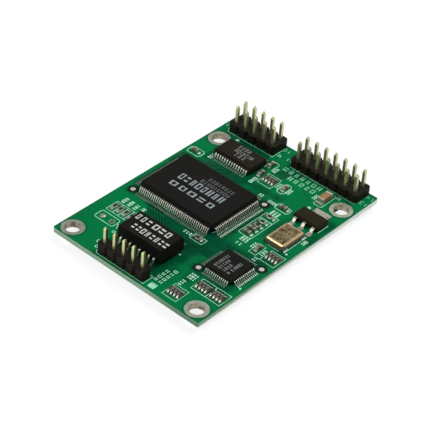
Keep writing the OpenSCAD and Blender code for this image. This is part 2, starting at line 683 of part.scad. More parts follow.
module array_ends() {
    color("silver") in_frame() at(arrays_at) for (i = [0 : array_elements - 1], a = [0, 180])
        rotate(a) translate([array_x(i) - array_terminal_w / 2, 0, 0]) difference() {
            translate([0, array_l / 2 - array_terminal_l, pad_t])
                cube([array_terminal_w, array_terminal_l, resistor_h]);
            translate([-1, array_l / 2 - array_terminal_l - 1, pad_t + wrap_t])
                cube([array_terminal_w + 2, array_terminal_l + 1 - wrap_t, resistor_h - 2 * wrap_t]);
        }
}
module array_pads() {
    color("gainsboro") in_frame() at(arrays_at) for (i = [0 : array_elements - 1])
        translate([array_x(i), 0, 0]) rotate(90) chip_solder(array_l, array_terminal_w, resistor_h,
            array_terminal_l);
}

// outline of a header housing, notched between its cells
function housing_outline(cols, rows) =
    let (p = pin_pitch, n = housing_notch, y0 = -housing_row / 2, y1 = (rows - 1) * p + housing_row / 2)
    concat([for (i = [0 : cols - 1], q = [[-p / 2, n], [-p / 2 + n, 0], [p / 2 - n, 0], [p / 2, n]])
                [i * p + q[0], y0 + q[1]]],
           [for (i = [cols - 1 : -1 : 0], q = [[p / 2, n], [p / 2 - n, 0], [-p / 2 + n, 0], [-p / 2, n]])
                [i * p + q[0], y1 - q[1]]]);
module housing(at, grid, cols, rows, h = housing_h) {
    difference() {
        translate([at[0], at[1], 0]) linear_extrude(h) polygon(housing_outline(cols, rows));
        at(grid) translate([-pin_w / 2 - fit, -pin_w / 2 - fit, -1])
            cube([pin_w + 2 * fit, pin_w + 2 * fit, h + 2]);
    }
}
// square pin, tapered at both ends on all four sides
module pin(hi = pin_top) {
    h = pin_w / 2;
    k = h * 0.5;
    lo = -board_t - pin_tail;
    side = [[-k, lo], [k, lo], [h, lo + pin_taper], [h, hi - pin_taper], [k, hi], [-k, hi],
            [-h, hi - pin_taper], [-h, lo + pin_taper]];
    intersection() {
        rotate([90, 0, 0]) linear_extrude(pin_w + 1, center = true) polygon(side);
        rotate([90, 0, 90]) linear_extrude(pin_w + 1, center = true) polygon(side);
    }
}
module left_header_housing() { color("darkslategray") in_frame() housing(left_at, left_grid, left_pins, 2); }
module left_header_pins() { color("khaki") in_frame() at(left_grid) pin(); }
module right_header_housing() {
    color("darkslategray") in_frame() housing(right_at, right_grid, right_pins, 2);
}
module right_header_pins() { color("khaki") in_frame() at(right_grid) pin(); }
module network_header_housing() {
    color("darkslategray") in_frame() housing(network_at, network_grid, network_pins, 1, network_housing_h);
}
module network_header_pins() { color("khaki") in_frame() at(network_grid) pin(network_pin_top); }

// solder fills each drilled hole round its pin and climbs the tail in a hollow cone
module header_solder() {
    hole = pin_hole_d / 2 - fit;
    foot = -board_t;
    pad = pin_pad_d / 2;
    tail = pin_w * 0.72;
    color("gainsboro") in_frame() at(all_pins) difference() {
        rotate_extrude($fn = 32)
            polygon(concat([[0, 0], [0, foot - pin_solder_h], [tail, foot - pin_solder_h]],
                [for (i = [1 : 4]) [tail + (pad - tail) * pow(i / 4, 2), foot - plating_t
                    - (pin_solder_h - plating_t) * pow(1 - i / 4, 2)]],
                [[pad, foot], [hole, foot], [hole, 0]]));
        translate([-pin_w / 2 - fit, -pin_w / 2 - fit, foot - pin_solder_h - 1])
            cube([pin_w + 2 * fit, pin_w + 2 * fit, board_t + pin_solder_h + 2]);
    }
}

board();
hole_plating();
alignment_targets();
spare_pads();
processor_body();
processor_leads();
processor_pads();
netchip_body();
netchip_leads();
netchip_pads();
driver_body();
driver_leads();
driver_pads();
transformer_body();
transformer_leads();
transformer_pads();
regulator_body();
regulator_leads();
regulator_pads();
oscillator_base();
oscillator_lid();
oscillator_contacts();
reservoir_body();
reservoir_ends();
array_bodies();
array_coats();
array_ends();
array_pads();
resistor_bodies();
resistor_coats();
resistor_ends();
capacitor_bodies();
capacitor_ends();
chip_pads();
left_header_housing();
left_header_pins();
right_header_housing();
right_header_pins();
network_header_housing();
network_header_pins();
header_solder();
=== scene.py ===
# %% [markdown]
# # A small network server module
# This lesson dresses the packed model of a four-hole circuit board: chips with gull-wing leads, a
# network transformer, a lidded oscillator, chip resistors and three pin headers. The solids already
# have the right sizes and places, so the lesson adds what a solid can't say: the solder mask, the
# printed marks, the tracks and vias under the mask, and a finish for every metal and plastic.
# The model is loaded first, because every later place is read from it.

# %% Load the packed model
import math

import bpy
from mathutils import Matrix, Vector
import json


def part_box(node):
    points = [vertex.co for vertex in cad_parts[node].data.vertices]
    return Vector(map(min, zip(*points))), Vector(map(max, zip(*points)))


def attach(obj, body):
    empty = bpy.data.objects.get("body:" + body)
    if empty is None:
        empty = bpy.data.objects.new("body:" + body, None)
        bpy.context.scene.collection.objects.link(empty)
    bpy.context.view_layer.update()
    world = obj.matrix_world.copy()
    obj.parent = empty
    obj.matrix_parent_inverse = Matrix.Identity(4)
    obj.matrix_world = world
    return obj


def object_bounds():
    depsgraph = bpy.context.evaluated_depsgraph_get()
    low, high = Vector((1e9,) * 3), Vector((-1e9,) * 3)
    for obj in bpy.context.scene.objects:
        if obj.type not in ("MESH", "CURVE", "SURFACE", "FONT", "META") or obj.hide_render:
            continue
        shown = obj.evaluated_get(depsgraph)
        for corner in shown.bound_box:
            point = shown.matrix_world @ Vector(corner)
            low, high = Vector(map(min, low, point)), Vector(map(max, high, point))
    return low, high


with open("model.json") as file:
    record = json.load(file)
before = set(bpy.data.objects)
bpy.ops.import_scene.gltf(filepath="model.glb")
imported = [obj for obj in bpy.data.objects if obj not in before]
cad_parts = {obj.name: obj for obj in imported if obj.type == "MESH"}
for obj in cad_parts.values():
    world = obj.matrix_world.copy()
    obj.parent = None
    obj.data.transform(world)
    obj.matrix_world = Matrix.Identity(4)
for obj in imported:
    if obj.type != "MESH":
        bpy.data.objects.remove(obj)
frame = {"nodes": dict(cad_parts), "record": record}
nodes = frame["nodes"]
cad_low, cad_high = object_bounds()
MM = 0.001  # one millimetre, since Blender counts in metres
print("model box in mm:", [round(v / MM, 2) for v in cad_high - cad_low], "nodes:", len(nodes))

# %% [markdown]
# ## A ruler on the board
# A board's designer counts millimetres from one corner of its component side. The model counts
# metres from the middle of the mounting holes, on the underside. One small function turns the first
# into the second, so each mark can be written as on the board's drawing. Heights count from the
# component side too, so the far side lies one board's thickness below nought.

# %% Places on the board
board_low, board_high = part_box("board")
BOARD_T = (board_high.z - board_low.z) / MM


def spot(x, y, z=0.0):
    """A point in metres, from millimetres off the near left corner and above the component side."""
    return Vector((board_low.x + x * MM, board_low.y + y * MM, board_high.z + z * MM))


def middle(node):
    """The middle of a node's plan, and its top, in the board's millimetres."""
    low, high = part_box(node)
    return (((low.x + high.x) / 2 - board_low.x) / MM, ((low.y + high.y) / 2 - board_low.y) / MM,
            (high.z - board_high.z) / MM)


print("board in mm:", [round(v / MM, 2) for v in board_high - board_low])

# %% [markdown]
# ## The camera
# The board was seen from its near right, well above it, through a long lens. A camera is fixed by
# where it stands and by two directions of its picture, right and up; the third follows from them.
# Writing the matrix from these keeps the slight roll that angles alone would lose.

# %% Camera
CAMERA_AT = Vector((0.17294792, -0.21102782, 0.221135))  # metres
CAMERA_RIGHT = Vector((0.73983866, 0.66959709, 0.06541022))
CAMERA_UP = Vector((-0.45830701, 0.4304215, 0.77761946))
FOCAL_LENGTH, SENSOR = 146.4517, 36  # mm; the picture is square
NEAREST = 0.01  # metres

scene = bpy.context.scene
lens = bpy.data.cameras.new("camera")
lens.lens, lens.sensor_width, lens.clip_start = FOCAL_LENGTH, SENSOR, NEAREST
camera = bpy.data.objects.new("camera", lens)
scene.collection.objects.link(camera)
back = CAMERA_RIGHT.cross(CAMERA_UP)
turn = Matrix((CAMERA_RIGHT, CAMERA_UP, back)).transposed()
camera.matrix_world = Matrix.Translation(CAMERA_AT) @ turn.to_4x4()
bpy.context.scene.camera = camera
print("camera looks down at", round(math.degrees(math.asin(back.z)), 1), "degrees")

# %% [markdown]
# ## Writing shader maths in Python
# A material is a tree of nodes, and a tree with twenty Math nodes is hard to read. A small class
# wraps one socket and gives it the signs of arithmetic, so that a mask is written as a formula and
# its nodes appear by themselves. Colours don't go through it, because a Math node would turn them
# grey; a Mix node blends them instead. The same signs serve in Geometry Nodes.

# %% A socket with arithmetic
class Signal:
    """One output socket of a tree, on which sums are written as in Python.

    wave() is its sine, held() keeps it from 0 to 1, and either() takes the larger of two.
    """

    def __init__(self, wiring, socket):
        self.wiring, self.socket = wiring, socket

    def maths(self, operation, *values, clamp=False):
        """Adds a Math node; clamp holds its result between 0 and 1."""
        return self.wiring.node("ShaderNodeMath", {"operation": operation, "use_clamp": clamp},
                                dict(enumerate(values)))

    def __gt__(self, other): return self.maths("GREATER_THAN", self, other)
    def __lt__(self, other): return self.maths("LESS_THAN", self, other)
    def __abs__(self): return self.maths("ABSOLUTE", self)
    def wave(self): return self.maths("SINE", self)
    def held(self): return self.maths("ADD", self, 0.0, clamp=True)
    def either(self, other): return self.maths("MAXIMUM", self, other)

    def sibling(self, name):
        """Another output of the same node."""
        return Signal(self.wiring, self.socket.node.outputs[name])


def overload(sign, operation):
    """Gives Signal a sign, and its reflected form for a plain number that stands before it."""
    setattr(Signal, f"__{sign}__", lambda self, other: self.maths(operation, self, other))
    setattr(Signal, f"__r{sign}__", lambda self, other: self.maths(operation, other, self))


for sign, operation in {"add": "ADD", "sub": "SUBTRACT", "mul": "MULTIPLY",
                        "truediv": "DIVIDE", "pow": "POWER"}.items():
    overload(sign, operation)
print("a signal knows", [name for name, method in vars(Signal).items() if callable(method)])

# %% [markdown]
# ## One way to add any node
# Every tree, for a material, for the sky or for geometry, is made of nodes that differ only in
# their type, their settings and what their sockets get. So one method adds them all. It takes the
# settings first, because they decide which sockets a node has, and it gives back the wanted output,
# ready for arithmetic.

# %% The wiring of a tree
class Wiring:
    """A tree of nodes, to which node() adds one and feed() brings values and links."""

    def __init__(self, tree):
        self.tree = tree

    def node(self, kind, settings=None, inputs=None, output=0):
        """Adds a node of that type; a ramp's setting "stops" is a place and a colour for each."""
        made = self.tree.nodes.new(kind)
        for name, value in (settings or {}).items():
            if name == "stops":
                for stop, (place, colour) in zip(made.color_ramp.elements, value):
                    stop.position, stop.color = place, colour
            else:
                setattr(made, name, value)
        for name, value in (inputs or {}).items():
            self.feed(made.inputs[name], value)
        return Signal(self, made.outputs[output])

    def feed(self, socket, value):
        """Gives a socket a plain value, a link, or a list of links that it joins."""
        values = value if isinstance(value, list) else [value]
        links = [v for v in values if isinstance(v, Signal)]
        for signal in links:
            self.tree.links.new(signal.socket, socket)
        if not links:
            socket.default_value = value


print("a wiring can", [name for name in vars(Wiring) if name[0] != "_"])

# %% [markdown]
# ## A finish
# A finish is one material: a Principled shader whose colour, roughness and relief vary over the
# surface, and whose other values are plain. Patterns read the object's own coordinates in
# millimetres, so a scratch has the same size on every piece. Colours are written as a painter reads
# them off a screen, and blending turns them into the linear ones in which light adds up.

# %% Colours
def linear(red, green, blue):
    """The linear colour of one that is read off a screen, from 0 to 255."""
    return [((c / 255 + 0.055) / 1.055) ** 2.4 if c > 10 else c / 255 / 12.92
            for c in (red, green, blue)] + [1.0]


print("a screen's middle grey is", round(linear(128, 128, 128)[0], 3), "of the light")

# %% Materials
finishes = {}


class Finish(Wiring):
    """A material: one Principled shader and the nodes that vary it over a surface."""

    def __init__(self, name, **plain):
        self.material = bpy.data.materials.new(name)
        self.material.use_nodes = True
        super().__init__(self.material.node_tree)
        self.shader = self.tree.nodes["Principled BSDF"]
        self.set(**plain)
        finishes[name] = self
        print("finish:", name)

    def set(self, **values):
        """Feeds the shader's inputs; an underscore stands for the blank in an input's name."""
        for name, value in values.items():
            self.feed(self.shader.inputs[name.replace("_", " ")], value)

    def place(self, stretch=(1, 1, 1)):
        """The object's own coordinates in millimetres, each times its stretch, as one vector."""
        here = self.node("ShaderNodeTexCoord", output="Object")
        return self.node("ShaderNodeVectorMath", {"operation": "MULTIPLY"},
                         {0: here, 1: [s / MM for s in stretch]})

    def axes(self):
        """The same coordinates, one Signal each for x, y and z."""
        split = self.node("ShaderNodeSeparateXYZ", None, {0: self.place()})
        return [split.sibling(axis) for axis in "XYZ"]

    def noise(self, size, detail=2, stretch=(1, 1, 1)):
        """Cloudy noise from 0 to 1; size is the width of one cloud in millimetres."""
        return self.node("ShaderNodeTexNoise", None,
                         {"Vector": self.place(stretch), "Scale": 1 / size, "Detail": detail})

    def blend(self, first, second, mask):
        """From one colour to another; each is a Signal, or red, green and blue off a screen."""
        first, second = (c if isinstance(c, Signal) else linear(*c) for c in (first, second))
        # A Mix node has a pair of ends for each type; those for colours are 6 and 7, and output 2.
        return self.node("ShaderNodeMix", {"data_type": "RGBA"}, {0: mask, 6: first, 7: second}, 2)

    def relief(self, height, depth):
        """A bump of that depth in millimetres, from a height of 0 to 1."""
        bump = self.node("ShaderNodeBump", None, {"Height": height, "Distance": depth * MM})
        self.set(Normal=bump)


print("a finish can", [name for name in vars(Finish) if name[0] != "_"])

# %% [markdown]
# ## Light and background
# A small part is photographed under large soft lamps that leave almost no shadow. Two broad area
# lamps and a pale sky give that light at a plain level. White is seen behind the object because
# rays from the camera, and rays mirrored in metal, find a white world; the lamps don't have to be
# turned up for it. Overhead it is darker, as a studio's ceiling is, which gives metal its contrast.

# %% Lamps
scene.view_settings.view_transform = "Standard"


def lamp(name, at, size, power):
    """A square soft lamp that faces the board; size in metres, power in watts."""
    light = bpy.data.lights.new(name, "AREA")
    light.energy, light.size = power, size
    stand = bpy.data.objects.new(name, light)
    scene.collection.objects.link(stand)
    aim = Vector(at).to_track_quat("Z", "Y").to_matrix().to_4x4()
    stand.matrix_world = Matrix.Translation(at) @ aim
    print(name, "stands", round(Vector(at).length, 2), "m off, with", power, "W")


lamp("key_lamp", (0.10, 0.28, 0.46), 0.28, 2.6)
lamp("side_lamp", (-0.20, -0.42, 0.30), 0.26, 1.9)

# %% Sky
SKY_LIGHT = (0.38, 0.39, 0.4, 1)
HORIZON, CEILING = (0.3, (0.85, 0.85, 0.85, 1)), (0.6, (0.26, 0.26, 0.26, 1))

sky = bpy.data.worlds.new("sky")
sky.use_nodes = True
scene.world = sky
air = Wiring(sky.node_tree)
camera_ray = air.node("ShaderNodeLightPath", output="Is Camera Ray")
seen = camera_ray.either(camera_ray.sibling("Is Glossy Ray"))
seen = seen.either(camera_ray.sibling("Is Transmission Ray"))
upwards = air.node("ShaderNodeTexCoord", output="Generated")
upwards = air.node("ShaderNodeSeparateXYZ", None, {0: upwards}, "Z")
backdrop = air.node("ShaderNodeValToRGB", {"stops": (HORIZON, CEILING)}, {0: upwards})
lights = sky.node_tree.nodes["Background"]
air.feed(lights.inputs["Color"], SKY_LIGHT)
shown = air.node("ShaderNodeBackground", None, {"Color": backdrop})
both = air.node("ShaderNodeMixShader", None, {0: seen, 1: Signal(air, lights.outputs[0]), 2: shown})
air.feed(sky.node_tree.nodes["World Output"].inputs["Surface"], both)
print("the sky has", len(sky.node_tree.nodes), "nodes")

# %% [markdown]
# ## The table
# A sheet of white paper is enough. Lit by the lamps alone it would turn grey towards its far end,
# and plain white would lose the board's shadow. So most of what the eye gets from it is its own
# glow, and the rest is lit paper with the soft shadow on it. It lies a hair under the longest
# solder tail, so that nothing touches it.

# %% The table under the board
TABLE_HALF = 1.5  # metres
TABLE_GAP = 0.02  # mm
GLOW_SHARE = 0.84

level = cad_low.z - TABLE_GAP * MM
corners = [(x * TABLE_HALF, y * TABLE_HALF, level) for x, y in ((-1, -1), (1, -1), (1, 1), (-1, 1))]
table_mesh = bpy.data.meshes.new("table")
table_mesh.from_pydata(corners, [], [(0, 1, 2, 3)])
table = bpy.data.objects.new("table", table_mesh)
scene.collection.objects.link(table)

paper = Finish("table_white", Base_Color=(0.93, 0.93, 0.93, 1), Roughness=0.9)
camera_ray = paper.node("ShaderNodeLightPath", output="Is Camera Ray")
seen = camera_ray.either(camera_ray.sibling("Is Glossy Ray"))
glow = paper.node("ShaderNodeEmission", None, {"Color": (1, 1, 1, 1)})
both = paper.node("ShaderNodeMixShader", None,
                  {0: seen * GLOW_SHARE, 1: Signal(paper, paper.shader.outputs[0]), 2: glow})
paper.feed(paper.tree.nodes["Material Output"].inputs["Surface"], both)
table_mesh.materials.append(paper.material)
print("table lies", round(-level / MM, 2), "mm under the board's underside")

# %% [markdown]
# ## Solder mask over woven laminate
# A circuit board is a sheet of glass cloth in resin. Both faces wear a thin coat of green varnish,
# the solder mask; the routed edges and the drilled holes show the bare sheet. The mask is thinner
# than a hair, so it isn't a second body: one finish does both, and knows by the height of a point
# whether it is on a face or on a cut. Most of a face is bright green. Round the chips and between
# them the green is deeper, as painted shade of the tall parts; along the rim and round the holes'
# rings it is darker too. Those places are listed first.

# %% Where shade is painted into the mask
# Rectangles of painted shade round the chips and between them: left, near, right and far,
# in board millimetres.
CHIP_SHADE_PLACES = [(0.9, 18.5, 26.5, 38.4), (8.0, 13.5, 27.0, 21.0), (26.5, 9.4, 38.4, 22.6),
        (9.5, 3.0, 25.8, 17.5), (4.0, 38.0, 18.0, 49.5), (14.0, 37.5, 23.5, 41.5),
        (27.5, 6.2, 31.2, 10.5), (36.4, 31.4, 40.4, 42.6), (23.6, 1.8, 27.6, 9.0),
        (31.0, 5.8, 39.0, 10.4), (28.2, 0.9, 32.4, 4.6), (34.0, 21.8, 39.2, 28.2),
        (17.6, 40.6, 22.0, 44.6), (29.4, 26.8, 32.4, 36.8), (30.8, 22.0, 34.2, 26.2),
        (21.8, 38.0, 26.2, 41.2)]
CHIP_SHADE_SOFT = 1.6  # mm over which such a place fades out
CHIP_SHADE_WANDER = 1.5  # mm by which its border wanders in and out
TARGETS = [(2.45, 20.25), (24.35, 36.15), (37.3, 20.35), (28.4, 11.85)]  # alignment targets
TARGET_REACH = 1.45  # mm of darkness round a target
HOLE = (2.85, 2.7)  # the near left mounting hole; the others mirror it about the middle
MOAT, MOAT_SOFT = 3.0, 0.35  # mm from a hole's middle to where the darker green round it ends
RIM = 0.4  # mm of board edge where the green is darker


def within(x, y, low, high, soft, wobble=0.0):
    """1 inside a rectangle, 0 outside it, soft over that many mm; wobble in mm widens it."""
    across, along = ((high[k] - low[k]) / 2 / MM - abs(v - (low[k] + high[k]) / 2 / MM)
                     for k, v in enumerate((x, y)))
    return ((across + wobble) / soft).held() * ((along + wobble) / soft).held()


def halo(x, y, at, reach, soft=0.5):
    """1 inside a round patch, 0 outside it, and soft over that many millimetres."""
    here = spot(*at)
    away = ((x - here.x / MM) ** 2 + (y - here.y / MM) ** 2) ** 0.5
    return ((reach - away) / soft).held()


def from_hole(x, y):
    """The distance from the nearest mounting hole's middle, in millimetres."""
    hole = spot(*HOLE)
    return ((abs(x) + hole.x / MM) ** 2 + (abs(y) + hole.y / MM) ** 2) ** 0.5


# The first count is of the rectangles of painted shade round the chips.
print(len(CHIP_SHADE_PLACES), "places without copper and", len(TARGETS), "targets")

# %% The faces
MASK_GREEN = (0, 101, 54)  # over the copper flood
MASK_SHADE = (0, 53, 35)  # painted shade round the chips, and random darker clouds
MASK_THICK = (2, 114, 62)  # where the varnish has gathered
MASK_DIP = (4, 62, 38)  # beside the rim and the rings
MASK_DARK = (2, 22, 14)  # round a target


def mask_colour(f, x, y, upper):
    """Both faces' green, with painted shade round the chips; upper is 1 on the component side."""
    wobble = f.noise(5) * (2 * CHIP_SHADE_WANDER) - CHIP_SHADE_WANDER
    chip_shade = sum(within(x, y, spot(x0, y0), spot(x1, y1), CHIP_SHADE_SOFT, wobble)
               for x0, y0, x1, y1 in CHIP_SHADE_PLACES).held() * upper
    # Painted shade round the chips, with random clouds of the same darker green.
    face = f.blend(MASK_GREEN, MASK_SHADE, (chip_shade * 0.8 + f.noise(7, 3) * 0.6 - 0.2).held())
    face = f.blend(face, MASK_THICK, f.noise(0.5, 1) * 0.16)
    rim = 1 - within(x, y, board_low, board_high, RIM)
    moat = ((MOAT - from_hole(x, y)) / MOAT_SOFT).held()
    face = f.blend(face, MASK_DIP, (rim * 0.45 + moat * 0.7).held())
    for at in TARGETS:
        face = f.blend(face, MASK_DARK, halo(x, y, at, TARGET_REACH) * upper)
    return face


print("mask green in linear light:", [round(v, 3) for v in linear(*MASK_GREEN)[:3]])

# %% [markdown]
# ## The cut edges
# On the edges the layers of cloth lie like the leaves of a book, greenish and translucent. A sine
# of the height draws them, and a flattened noise keeps them from being ruled. The edges aren't
# alike: painted light turns the right one white towards its far end and along its foot, and painted
# shade makes the near one darker towards its right end.

# %% The edges, and the board's finish
MASK_SKIN = 0.012  # mm of mask; between the two skins is the cut edge
LAYER = 0.2  # mm from one layer of cloth to the next
CLOTH_DARK, CLOTH_PALE = (84, 118, 92), (136, 160, 138)
# Painted light for the right cut, and painted shade for the near one.
PAINTED_EDGE_LIGHT, SHADED = (222, 232, 220), (66, 92, 74)
AT_CUT = 0.1  # mm within which a point counts as on a cut


def edge_colour(f, x, y, z, layers):
    """The layers of cloth, with painted light on the right cut and painted shade on the near one.
    """
    sheet = f.blend(CLOTH_DARK, CLOTH_PALE, layers)
    right_cut = x > board_high.x / MM - AT_CUT
    far_end = (y + 10) / 30  # grows from 0 to 1 between y = -10 and 20 mm
    foot = (BOARD_T * 0.6 - z) / 0.5  # 0 a little above the middle, and growing downwards
    # Painted light: the right cut turns white towards its far end and towards its foot.
    painted_light_share = (far_end + foot).held() * right_cut
    sheet = f.blend(sheet, PAINTED_EDGE_LIGHT, painted_light_share * 0.78)
    # Painted shade: the near cut turns darker towards its right end.
    near_cut = y < board_low.y / MM + AT_CUT
    right_end = ((x - 5) / 8).held()  # grows from 0 to 1 between x = 5 and 13 mm
    return f.blend(sheet, SHADED, right_end * near_cut * 0.6)


def weave(f, rate):
    """The raised crossings of glass cloth, 0 to 1; they lie pi over the rate apart, in mm."""
    x, y, z = f.axes()
    return ((x * rate).wave() * (y * rate).wave() + 1) / 2


def board():
    """Mask on the faces and cloth on the cuts, with the relief of the cloth under both."""
    f = Finish("board_laminate", IOR=1.5, Specular_IOR_Level=0.03)
    x, y, z = f.axes()
    cut = (z > MASK_SKIN) * (z < BOARD_T - MASK_SKIN)
    upper = z > BOARD_T / 2
    layers = ((z * (math.tau / LAYER)).wave() + f.noise(0.18, 2, (0.25, 0.25, 1)) * 1.6).held()
    colour = f.blend(mask_colour(f, x, y, upper), edge_colour(f, x, y, z, layers), cut)
    f.set(Base_Color=colour, Roughness=0.3 + cut * 0.4 + f.noise(3) * 0.06)
    f.relief(weave(f, 7) * 0.25 + f.noise(0.7) * 0.5 + cut * layers, 0.006)
    return f


print("it has", len(board().tree.nodes), "nodes")

# %% [markdown]
# ## Tin, solder and bright ends
# Tin is everywhere on a board, and never twice the same. The big rings round the holes are dipped
# and blown level, uneven and dull, with a paler band round the hole, and the hole's wall is painted
# in patches of shade and highlight. Leads are plated, and just above the board their feet carry a
# painted reflection of the green beside them. Solder has flowed and frozen, with a slow swell. One
# function makes all of them from two colours, a roughness and the sizes of the unevenness, so that
# the metals look related.

# %% Tin and solder
RING_EDGE, WALL = 2.12, 1.66  # mm from a hole's middle to the band's end and to the wall
RING_SOFT = 0.12  # mm over which the band fades out
MIRROR_TOP = 0.75  # mm above the board, where a lead's painted reflection of the mask ends
MIRROR_SOFT = 0.4  # mm over which the painted green reflection fades out


def tin(name, dark, bright, roughness, patch, grain, depth, green_reflection=None, rings=None):
    """A dull white metal; patch and grain are the sizes in mm of its blotches and fine marks.

    Its colour beside the green mask is a painted reflection of that green, taken by a lead just
    above the board; rings are the colours of the band round a mounting hole, and of the painted
    shade and painted highlight on the hole's wall.
    """
    f = Finish(name, Metallic=1.0)
    x, y, z = f.axes()
    blotch = f.noise(patch)
    fine = f.noise(grain, 3)
    colour = f.blend(dark, bright, (blotch * 0.7 + fine * 0.5 - 0.1).held())
    # A painted reflection of the green mask on a lead's foot, fading out upwards.
    if green_reflection:
        height = z - BOARD_T
        reflection_share = ((MIRROR_TOP - height) / MIRROR_SOFT).held()
        above_board = height > -0.1
        colour = f.blend(colour, green_reflection, reflection_share * above_board)
    if rings:
        away = from_hole(x, y)
        band = ((RING_EDGE - away + blotch * 0.3 - 0.15) / RING_SOFT).held()
        colour = f.blend(colour, rings[0], band * 0.85)
        # The hole's wall: patches of painted shade and painted highlight.
        painted_wall = f.blend(rings[1], rings[2], f.noise(1.4, 1) * 2.4 - 0.7)
        colour = f.blend(colour, painted_wall, away < WALL)
    f.set(Base_Color=colour, Roughness=(roughness + blotch * 0.2 - fine * 0.08).held())
    f.relief(fine * 0.5 + blotch, depth)


# The last two colours are the wall's painted shade and painted highlight.
tin("hole_tin", (94, 118, 98), (186, 204, 184), 0.42, 1.1, 0.12, 0.02,
    rings=((166, 163, 150), (86, 82, 64), (178, 168, 150)))
# Its last colour is a painted reflection of the green mask.
tin("lead_tin", (136, 136, 126), (198, 198, 186), 0.38, 0.6, 0.05, 0.003, green_reflection=(116, 146, 124))
tin("solder", (98, 114, 100), (146, 160, 146), 0.46, 0.5, 0.1, 0.01)
tin("part_ends", (158, 162, 152), (222, 222, 212), 0.3, 0.35, 0.06, 0.008)
tin("target_tin", (170, 174, 164), (200, 202, 192), 0.6, 0.4, 0.08, 0.01)
tin("bright_tin", (146, 150, 138), (198, 202, 188), 0.36, 0.35, 0.06, 0.006)
tin("tab_tin", (134, 134, 122), (190, 188, 174), 0.44, 0.8, 0.1, 0.004)

# %% [markdown]
# ## Pin gold and the oscillator's lid
# Header pins are drawn from square wire, which leaves fine lines along them, and flashed with pale
# gold, more straw than gold. The faces towards X get their own tone by the face's own direction: on
# the single header's pins they are darker, as painted shade, and on the double headers' pins paler,
# as a painted highlight. The oscillator's lid is a gold-plated stamping with a satin face, and a
# brighter rim is painted round it as a painted highlight. All are metals, so their colour lives in
# the reflection, and a stretched noise is enough for the drawing lines.

# %% Gold finishes
ASIDE = 0.6  # a face whose direction has more X in it than this is a side


def pin(name, front, side, rough_side):
    """A square pin; front is towards Y and side towards X, each a darker and a paler colour.

    rough_side is how much rougher the side is than the front. A darker side is painted shade, and a
    paler side a painted highlight.
    """
    f = Finish(name, Metallic=1.0)
    lines = f.noise(0.05, 2, (1, 1, 0.04))
    patch = f.noise(0.9)
    direction = f.node("ShaderNodeTexCoord", output="Normal")
    sideways = abs(f.node("ShaderNodeSeparateXYZ", None, {0: direction})) > ASIDE
    ahead = f.blend(*front, (lines * 0.6 + patch * 0.5).held())
    beside = f.blend(*side, (lines * 0.7 + patch * 0.4).held())
    # The faces towards X take their own tone: painted shade where darker, painted highlight where
    # paler.
    f.set(Base_Color=f.blend(ahead, beside, sideways),
          Roughness=0.34 + lines * 0.16 + sideways * rough_side)
    f.relief(lines, 0.004)


def lid():
    """Satin gold with tarnish in the middle, and a brighter rim that is a painted highlight."""
    f = Finish("lid_metal", Metallic=1.0)
    x, y, z = f.axes()
    inside = within(x, y, *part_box("oscillator_lid"), soft=0.25, wobble=-0.35)
    satin = f.noise(0.08, 2, (1, 0.2, 1))
    patch = f.noise(0.9, 3)
    worn = f.blend((146, 132, 96), (68, 54, 31), ((patch - 0.42) * 5).held())
    # The brighter rim is a painted highlight along the lid's edges.
    rim = f.blend((176, 154, 108), (214, 190, 146), satin)
    f.set(Base_Color=f.blend(rim, worn, inside * 0.9), Roughness=0.32 + satin * 0.2)
    f.relief(satin, 0.004)


# Single header: sides darker, as painted shade. Double headers: sides paler, as a painted
# highlight.
pin("pin_gold", ((174, 178, 126), (218, 224, 174)), ((84, 74, 42), (150, 138, 88)), 0.1)
pin("double_pin_gold", ((138, 142, 98), (198, 202, 152)), ((168, 164, 128), (218, 214, 180)), -0.04)
lid()

# %% [markdown]
# ## Moulding compounds and plastics
# A chip is cast in black epoxy in a spark-eroded mould, so its skin is a very fine matt grain, and
# no two makers' blacks are the same: one is neutral, one warm, one brown. The transformer's case
# and the header bars are smoother injection mouldings, a little wavy where the plastic shrank. They
# differ only in colour, grain and gloss, so again one function makes them. The grain is a real
# bump, because its sparkle is what tells epoxy from nylon.

# %% Black plastics
def moulded(name, colour, grain_colour, roughness, grain, depth, gloss):
    """A moulded plastic; grain and depth in mm, gloss is the strength of its mirror layer."""
    f = Finish(name, Specular_IOR_Level=gloss)
    speck = f.noise(grain)
    swell = f.noise(2.5)
    f.set(Base_Color=f.blend(colour, grain_colour, (speck * 0.8 + swell * 0.3 - 0.1).held()),
          Roughness=(roughness + swell * 0.12 - speck * 0.06).held())
    f.relief(speck + swell * 0.4, depth)


moulded("chip_epoxy", (15, 14, 13), (28, 27, 25), 0.54, 0.05, 0.006, 0.035)
moulded("warm_epoxy", (21, 19, 15), (40, 35, 28), 0.54, 0.05, 0.006, 0.035)
moulded("brown_epoxy", (16, 15, 10), (48, 40, 26), 0.5, 0.05, 0.006, 0.05)
moulded("transformer_case", (13, 13, 11), (24, 23, 21), 0.44, 0.09, 0.006, 0.05)
moulded("header_plastic", (15, 13, 10), (29, 25, 19), 0.44, 0.12, 0.008, 0.07)
moulded("cover_coat", (24, 26, 20), (56, 58, 46), 0.36, 0.1, 0.004, 0.12)
moulded("dark_ceramic", (58, 52, 44), (92, 84, 70), 0.6, 0.08, 0.006, 0.3)

# %% [markdown]
# ## Ceramics
# Chip capacitors are baked from brown ceramic, and resistors from white alumina, both speckled and
# slightly waxy. The specks are a tenth of a millimetre, so they only show in a close view, but they
# keep the tiny blocks from looking like paint.

# %% Ceramic finishes
def ceramic(name, base, speck_colour, roughness):
    """A baked block with specks of a second colour."""
    f = Finish(name)
    speck = f.noise(0.09)
    cloud = f.noise(0.8)
    f.set(Base_Color=f.blend(base, speck_colour, (speck * 0.7 + cloud * 0.5 - 0.2).held()),
          Roughness=roughness + speck * 0.15)
    f.relief(speck, 0.006)


